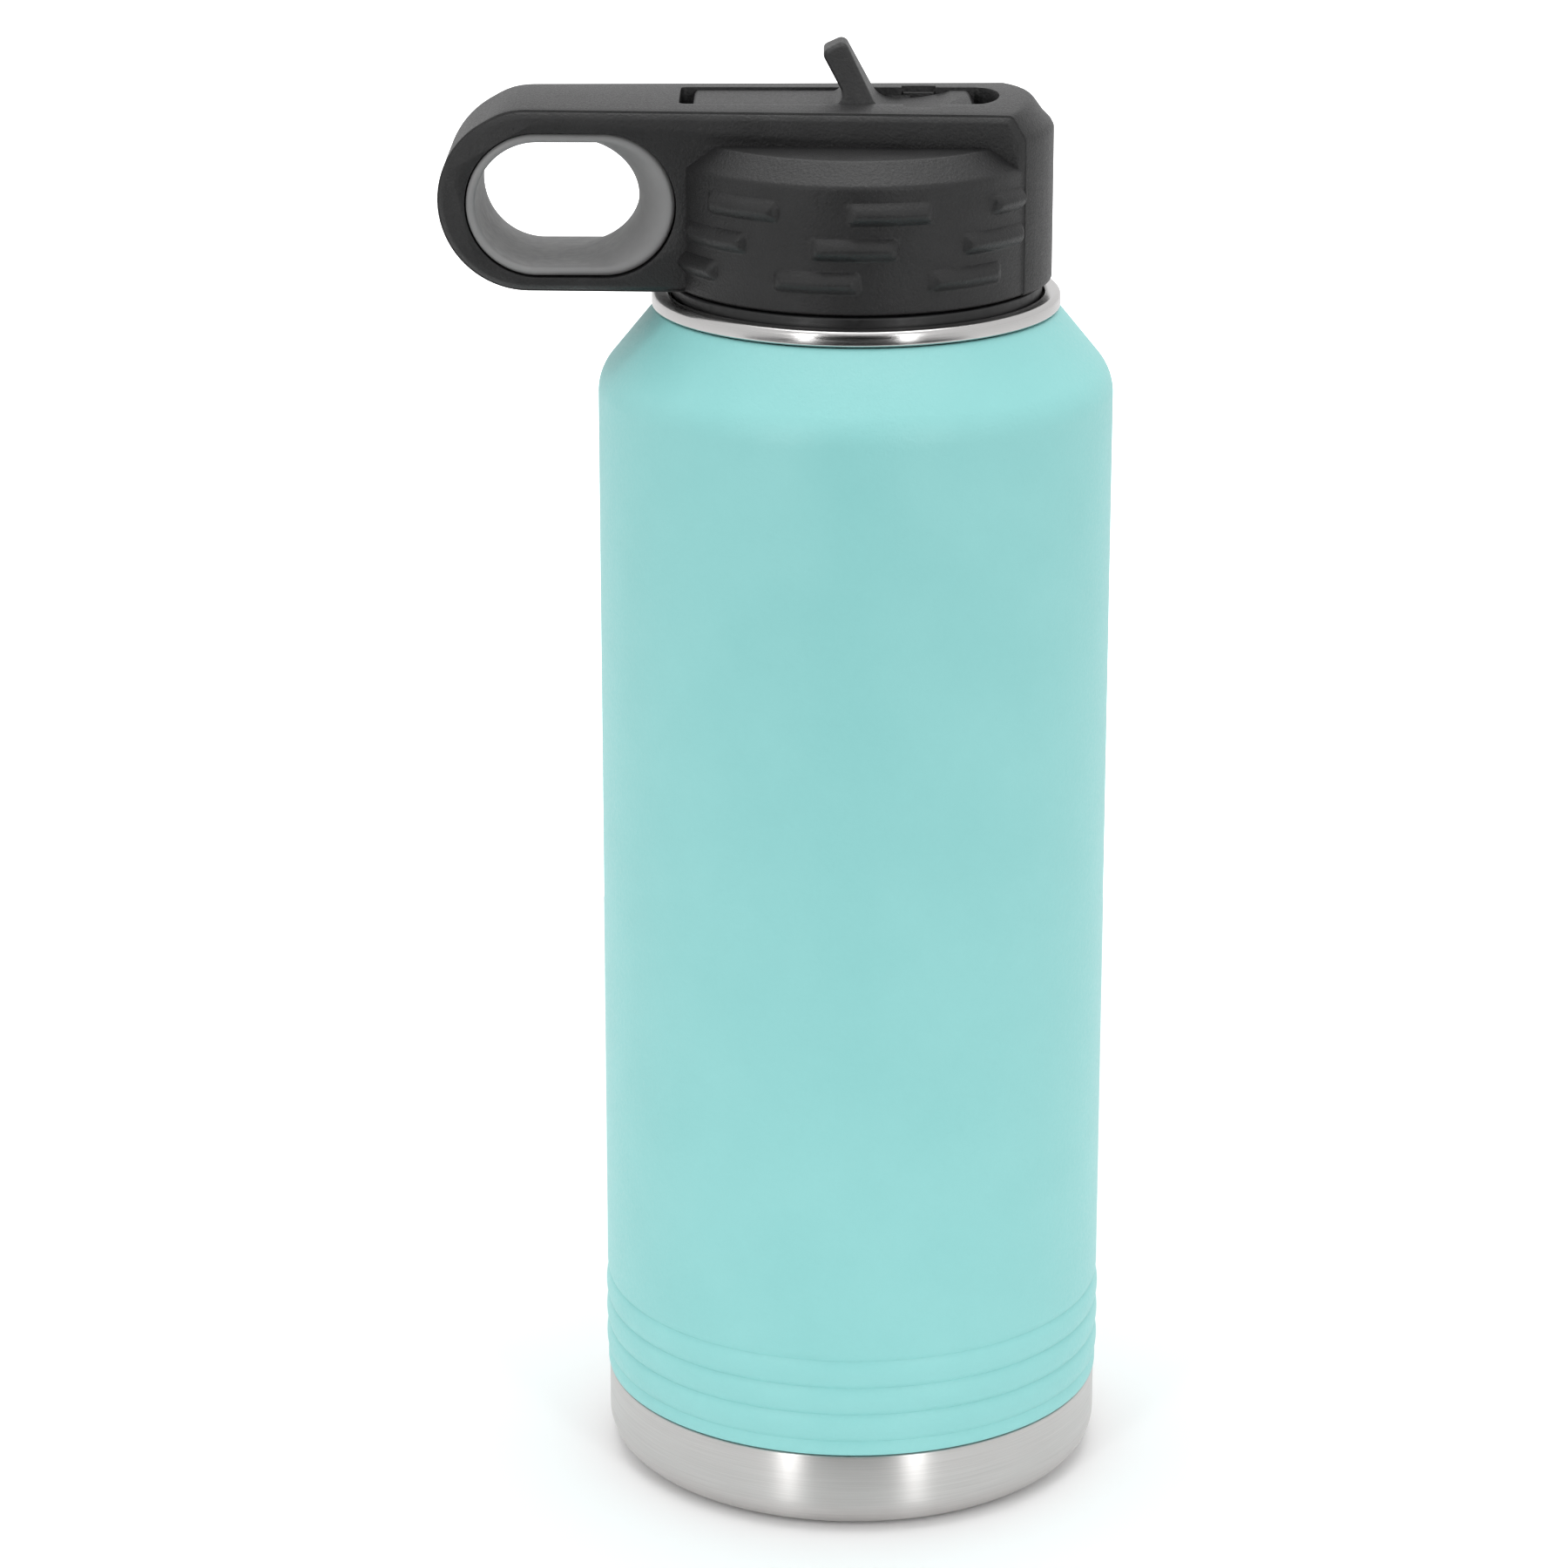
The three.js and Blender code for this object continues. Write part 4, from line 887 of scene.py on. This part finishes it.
# Turns a prism drawn in (Y, Z) and raised along Z so that it runs along X.
ALONG_X = Matrix(((0, 0, 1, 0), (1, 0, 0, 0), (0, 1, 0, 0), (0, 0, 0, 1)))


def spout_skin():
    """The flip spout: mouthpiece bar, finger tab, scoop, rotor and trunnions."""
    body = slab("spout_body", spout_outline(), lambda x, z: SPOUT_HALF, round_edge(0.3), rows=4)
    facet = block("facet", -1, 20, -30, 30, 0, 10)
    facet.data.transform(Matrix.Translation(Vector((FACET_X, -SPOUT_HALF, SPOUT_TOP_Z)) * MM)
                         @ Matrix.Rotation(FACET_TURN, 4, "Z") @ Matrix.Rotation(FACET_TILT, 4, "Y"))
    combine(body, facet)
    soften(body, 0.25, angle=30)
    tab = slab("tab", resampled(tab_outline(), 1.2), tab_half, round_edge(0.8, 4), rows=6)
    combine(body, tab, "UNION")
    combine(body, rod_across("trunnions", TRUNNION_R, TRUNNION_HALF, PIVOT[0], PIVOT[2]), "UNION")
    circle = arc(0, PIVOT[2], SPOUT_BORE_R, 0, TAU, 40)[:-1]
    bore = prism("bore", circle, SPOUT_LEFT_X - 1, PIVOT[0] + ROTOR_R + 2)
    bore.data.transform(ALONG_X)
    combine(body, bore)
    body.name = "flip_mouthpiece"
    return place(body, "spout", "black_plastic", "flip_spout")


def gasket_skin():
    """The black sealing ring between the lid and the steel mouth."""
    low, high = GASKET_LOW[2], GASKET_HIGH[2]
    outer = GASKET_HIGH[0]
    profile = rounded([(GASKET_BORE_R, low, 0.2), (outer - 0.6, low, 0.3), (outer, low + 0.8, 0.4),
                       (outer, high, 0.5), (GASKET_BORE_R, high, 0.2)], steps=4)
    ring = turned("sealing_ring", [tuple(p) for p in profile], facets=224)
    return place(ring, "seal_ring", "black_silicone", "lid_gasket")


def plug_skin():
    """The threaded plug, seen in the neck when the lid is raised."""
    low, high = PLUG_LOW[2], PLUG_HIGH[2]
    floor_z = low + PLUG_FLOOR
    hole_top = low + 6
    corner = arc(PLUG_R - PLUG_CORNER_R, low + PLUG_CORNER_R, PLUG_CORNER_R, -math.pi / 2, 0, 6)
    profile = [(0, low)] + [tuple(p) for p in corner]
    profile += [(PLUG_R, high), (PLUG_R - PLUG_WALL, high), (PLUG_R - PLUG_WALL, floor_z), (0, floor_z)]
    plug = turned("plug", profile, facets=160)
    thread = thread_ridge("plug_thread", PLUG_R, THREAD_DEPTH, THREAD_Z - THREAD_PITCH / 2)
    combine(plug, thread, "UNION")
    combine(plug, rod_up("adapter_hole", ADAPTER_HOLE_R, low - 1, hole_top, PIVOT[0]))
    combine(plug, rod_up("vent_hole", VENT_HOLE_R, low - 1, hole_top, VENT_X))
    plug.name = "threaded_plug_body"
    return place(plug, "lid", "black_plastic", "threaded_plug")


def keeper_skins():
    """The two plugs that close the keyways over the trunnions."""
    for name in ("hinge_keeper_front", "hinge_keeper_back"):
        low, high = box_mm(name)
        keeper = block(name + "_plug", low[0], high[0], low[1], high[1], low[2], high[2])
        combine(keeper, rod_across("relief", TRUNNION_R + 0.5, 30, PIVOT[0], PIVOT[2]))
        soften(keeper, 0.2)
        place(keeper, "lid", "black_plastic", name)


# ---------------------------------------------------------------- stage, light and camera
# All lengths from here on are in metres.
WORLD_LEVEL = 0.9
STAGE_ROUGHNESS = 0.8
FLOOR_COLOR = (0.95, 0.95, 0.95)
FLOOR_HALF = 12.0
FLOOR_Z = -0.0002
COVER_NEAR = 0.3
COVER_Z = 0.0008
CARD_COLOR = (0.01, 0.01, 0.01)
CARD_HALF = 0.8
CARD_AWAY = 1.3
CARD_HIGH = 0.95
RUG_NEAR = 0.35
RUG_Z = 0.0005
AIM = (0, 0, 0.14)
STRIP_TURN = math.radians(28)    # each strip light's angle from the front
STRIP_AWAY = 0.9
STRIP_Z = 0.38
STRIP_SIZE = (0.12, 0.75)
STRIP_LEVEL = 6.0
OVERHEAD_PLACE = (0, 0.1, 1.2)
OVERHEAD_SIZE = (0.9, 0.9)
OVERHEAD_LEVEL = 2.1
CAMERA_PLACE = (-0.0059, -0.8625, 0.4061)
CAMERA_PITCH = math.radians(17.03)    # downwards
CAMERA_YAW = math.radians(-0.45)
CAMERA_LENS_MM = 114.76
CAMERA_SENSOR_MM = 36
CAMERA_SHIFT_Y = -0.05
CAMERA_CLIP_END = 50


def softbox(name, place_m, size, level):
    """A rectangular light of even brightness; level 1 is as bright as white paper."""
    light = bpy.data.lights.new(name, "AREA")
    light.shape = "RECTANGLE"
    light.size, light.size_y = size
    light.energy = level * math.pi * size[0] * size[1]
    obj = bpy.data.objects.new(name, light)
    obj.location = place_m
    direction = Vector(AIM) - Vector(place_m)
    obj.rotation_euler = direction.to_track_quat("-Z", "Y").to_euler()
    obj.visible_camera = False
    bpy.context.scene.collection.objects.link(obj)


def rectangle(half_width, y_from, y_to, z):
    """The corners of a level rectangle, anticlockwise from above."""
    return [(-half_width, y_from, z), (half_width, y_from, z), (half_width, y_to, z),
            (-half_width, y_to, z)]


def sheet_on_stage(name, corners, color, faces=((0, 1, 2, 3),)):
    """A flat plain sheet that isn't part of the object."""
    mesh = bpy.data.meshes.new(name)
    mesh.from_pydata(corners, [], faces)
    obj = bpy.data.objects.new(name, mesh)
    bpy.context.scene.collection.objects.link(obj)
    mesh.materials.append(Recipe(name, color, STAGE_ROUGHNESS).material)
    return obj


def make_stage():
    """A white floor, with a dark card and rug in front that only reflections see."""
    sheet_on_stage("floor", rectangle(FLOOR_HALF, -FLOOR_HALF, FLOOR_HALF, FLOOR_Z), FLOOR_COLOR)
    rug = sheet_on_stage("dark_rug", rectangle(CARD_HALF, -CARD_AWAY, -RUG_NEAR, RUG_Z), CARD_COLOR)
    rug.visible_camera = False
    card_corners = [(-CARD_HALF, -CARD_AWAY, 0), (CARD_HALF, -CARD_AWAY, 0),
                    (CARD_HALF, -CARD_AWAY, CARD_HIGH), (-CARD_HALF, -CARD_AWAY, CARD_HIGH)]
    card = sheet_on_stage("dark_card", card_corners, CARD_COLOR)
    card.visible_camera = False

    # Only the camera sees this white ring, so the far floor is as pale from every side.
    outer = rectangle(FLOOR_HALF, -FLOOR_HALF, FLOOR_HALF, COVER_Z)
    inner = rectangle(COVER_NEAR, -COVER_NEAR, COVER_NEAR, COVER_Z)
    faces = [(i, (i + 1) % 4, 4 + (i + 1) % 4, 4 + i) for i in range(4)]
    cover = sheet_on_stage("pale_cover", outer + inner, FLOOR_COLOR, faces)
    shader = cover.data.materials[0].node_tree.nodes["Principled BSDF"]
    shader.inputs["Emission Color"].default_value = (1, 1, 1, 1)
    shader.inputs["Emission Strength"].default_value = 1.0
    cover.visible_diffuse = False
    cover.visible_glossy = False
    cover.visible_transmission = False
    cover.visible_shadow = False


def make_light():
    """An even white sky, two strip lights in front and a soft one overhead."""
    world = bpy.data.worlds.new("studio")
    bpy.context.scene.world = world
    world.use_nodes = True
    background = world.node_tree.nodes["Background"]
    background.inputs["Color"].default_value = (1, 1, 1, 1)
    background.inputs["Strength"].default_value = WORLD_LEVEL
    for name, side in (("left_strip", -1), ("right_strip", 1)):
        place_m = (side * STRIP_AWAY * math.sin(STRIP_TURN), -STRIP_AWAY * math.cos(STRIP_TURN), STRIP_Z)
        softbox(name, place_m, STRIP_SIZE, STRIP_LEVEL)
    softbox("overhead", OVERHEAD_PLACE, OVERHEAD_SIZE, OVERHEAD_LEVEL)


def make_camera():
    """The camera, in front of the bottle and a little above it."""
    camera = bpy.data.cameras.new("camera")
    camera.lens = CAMERA_LENS_MM
    camera.sensor_width = CAMERA_SENSOR_MM
    camera.shift_y = CAMERA_SHIFT_Y
    camera.clip_end = CAMERA_CLIP_END
    obj = bpy.data.objects.new("camera", camera)
    obj.location = CAMERA_PLACE
    obj.rotation_euler = (math.pi / 2 - CAMERA_PITCH, 0, -CAMERA_YAW)
    bpy.context.scene.collection.objects.link(obj)
    bpy.context.scene.camera = obj


dress_cad_nodes()
make_camera()
make_stage()
make_light()
shell_skin()
base_skin()
liner_skin()
lid_skin()
insert_skin()
spout_skin()
gasket_skin()
plug_skin()
keeper_skins()

bpy.context.scene.view_settings.view_transform = "Standard"
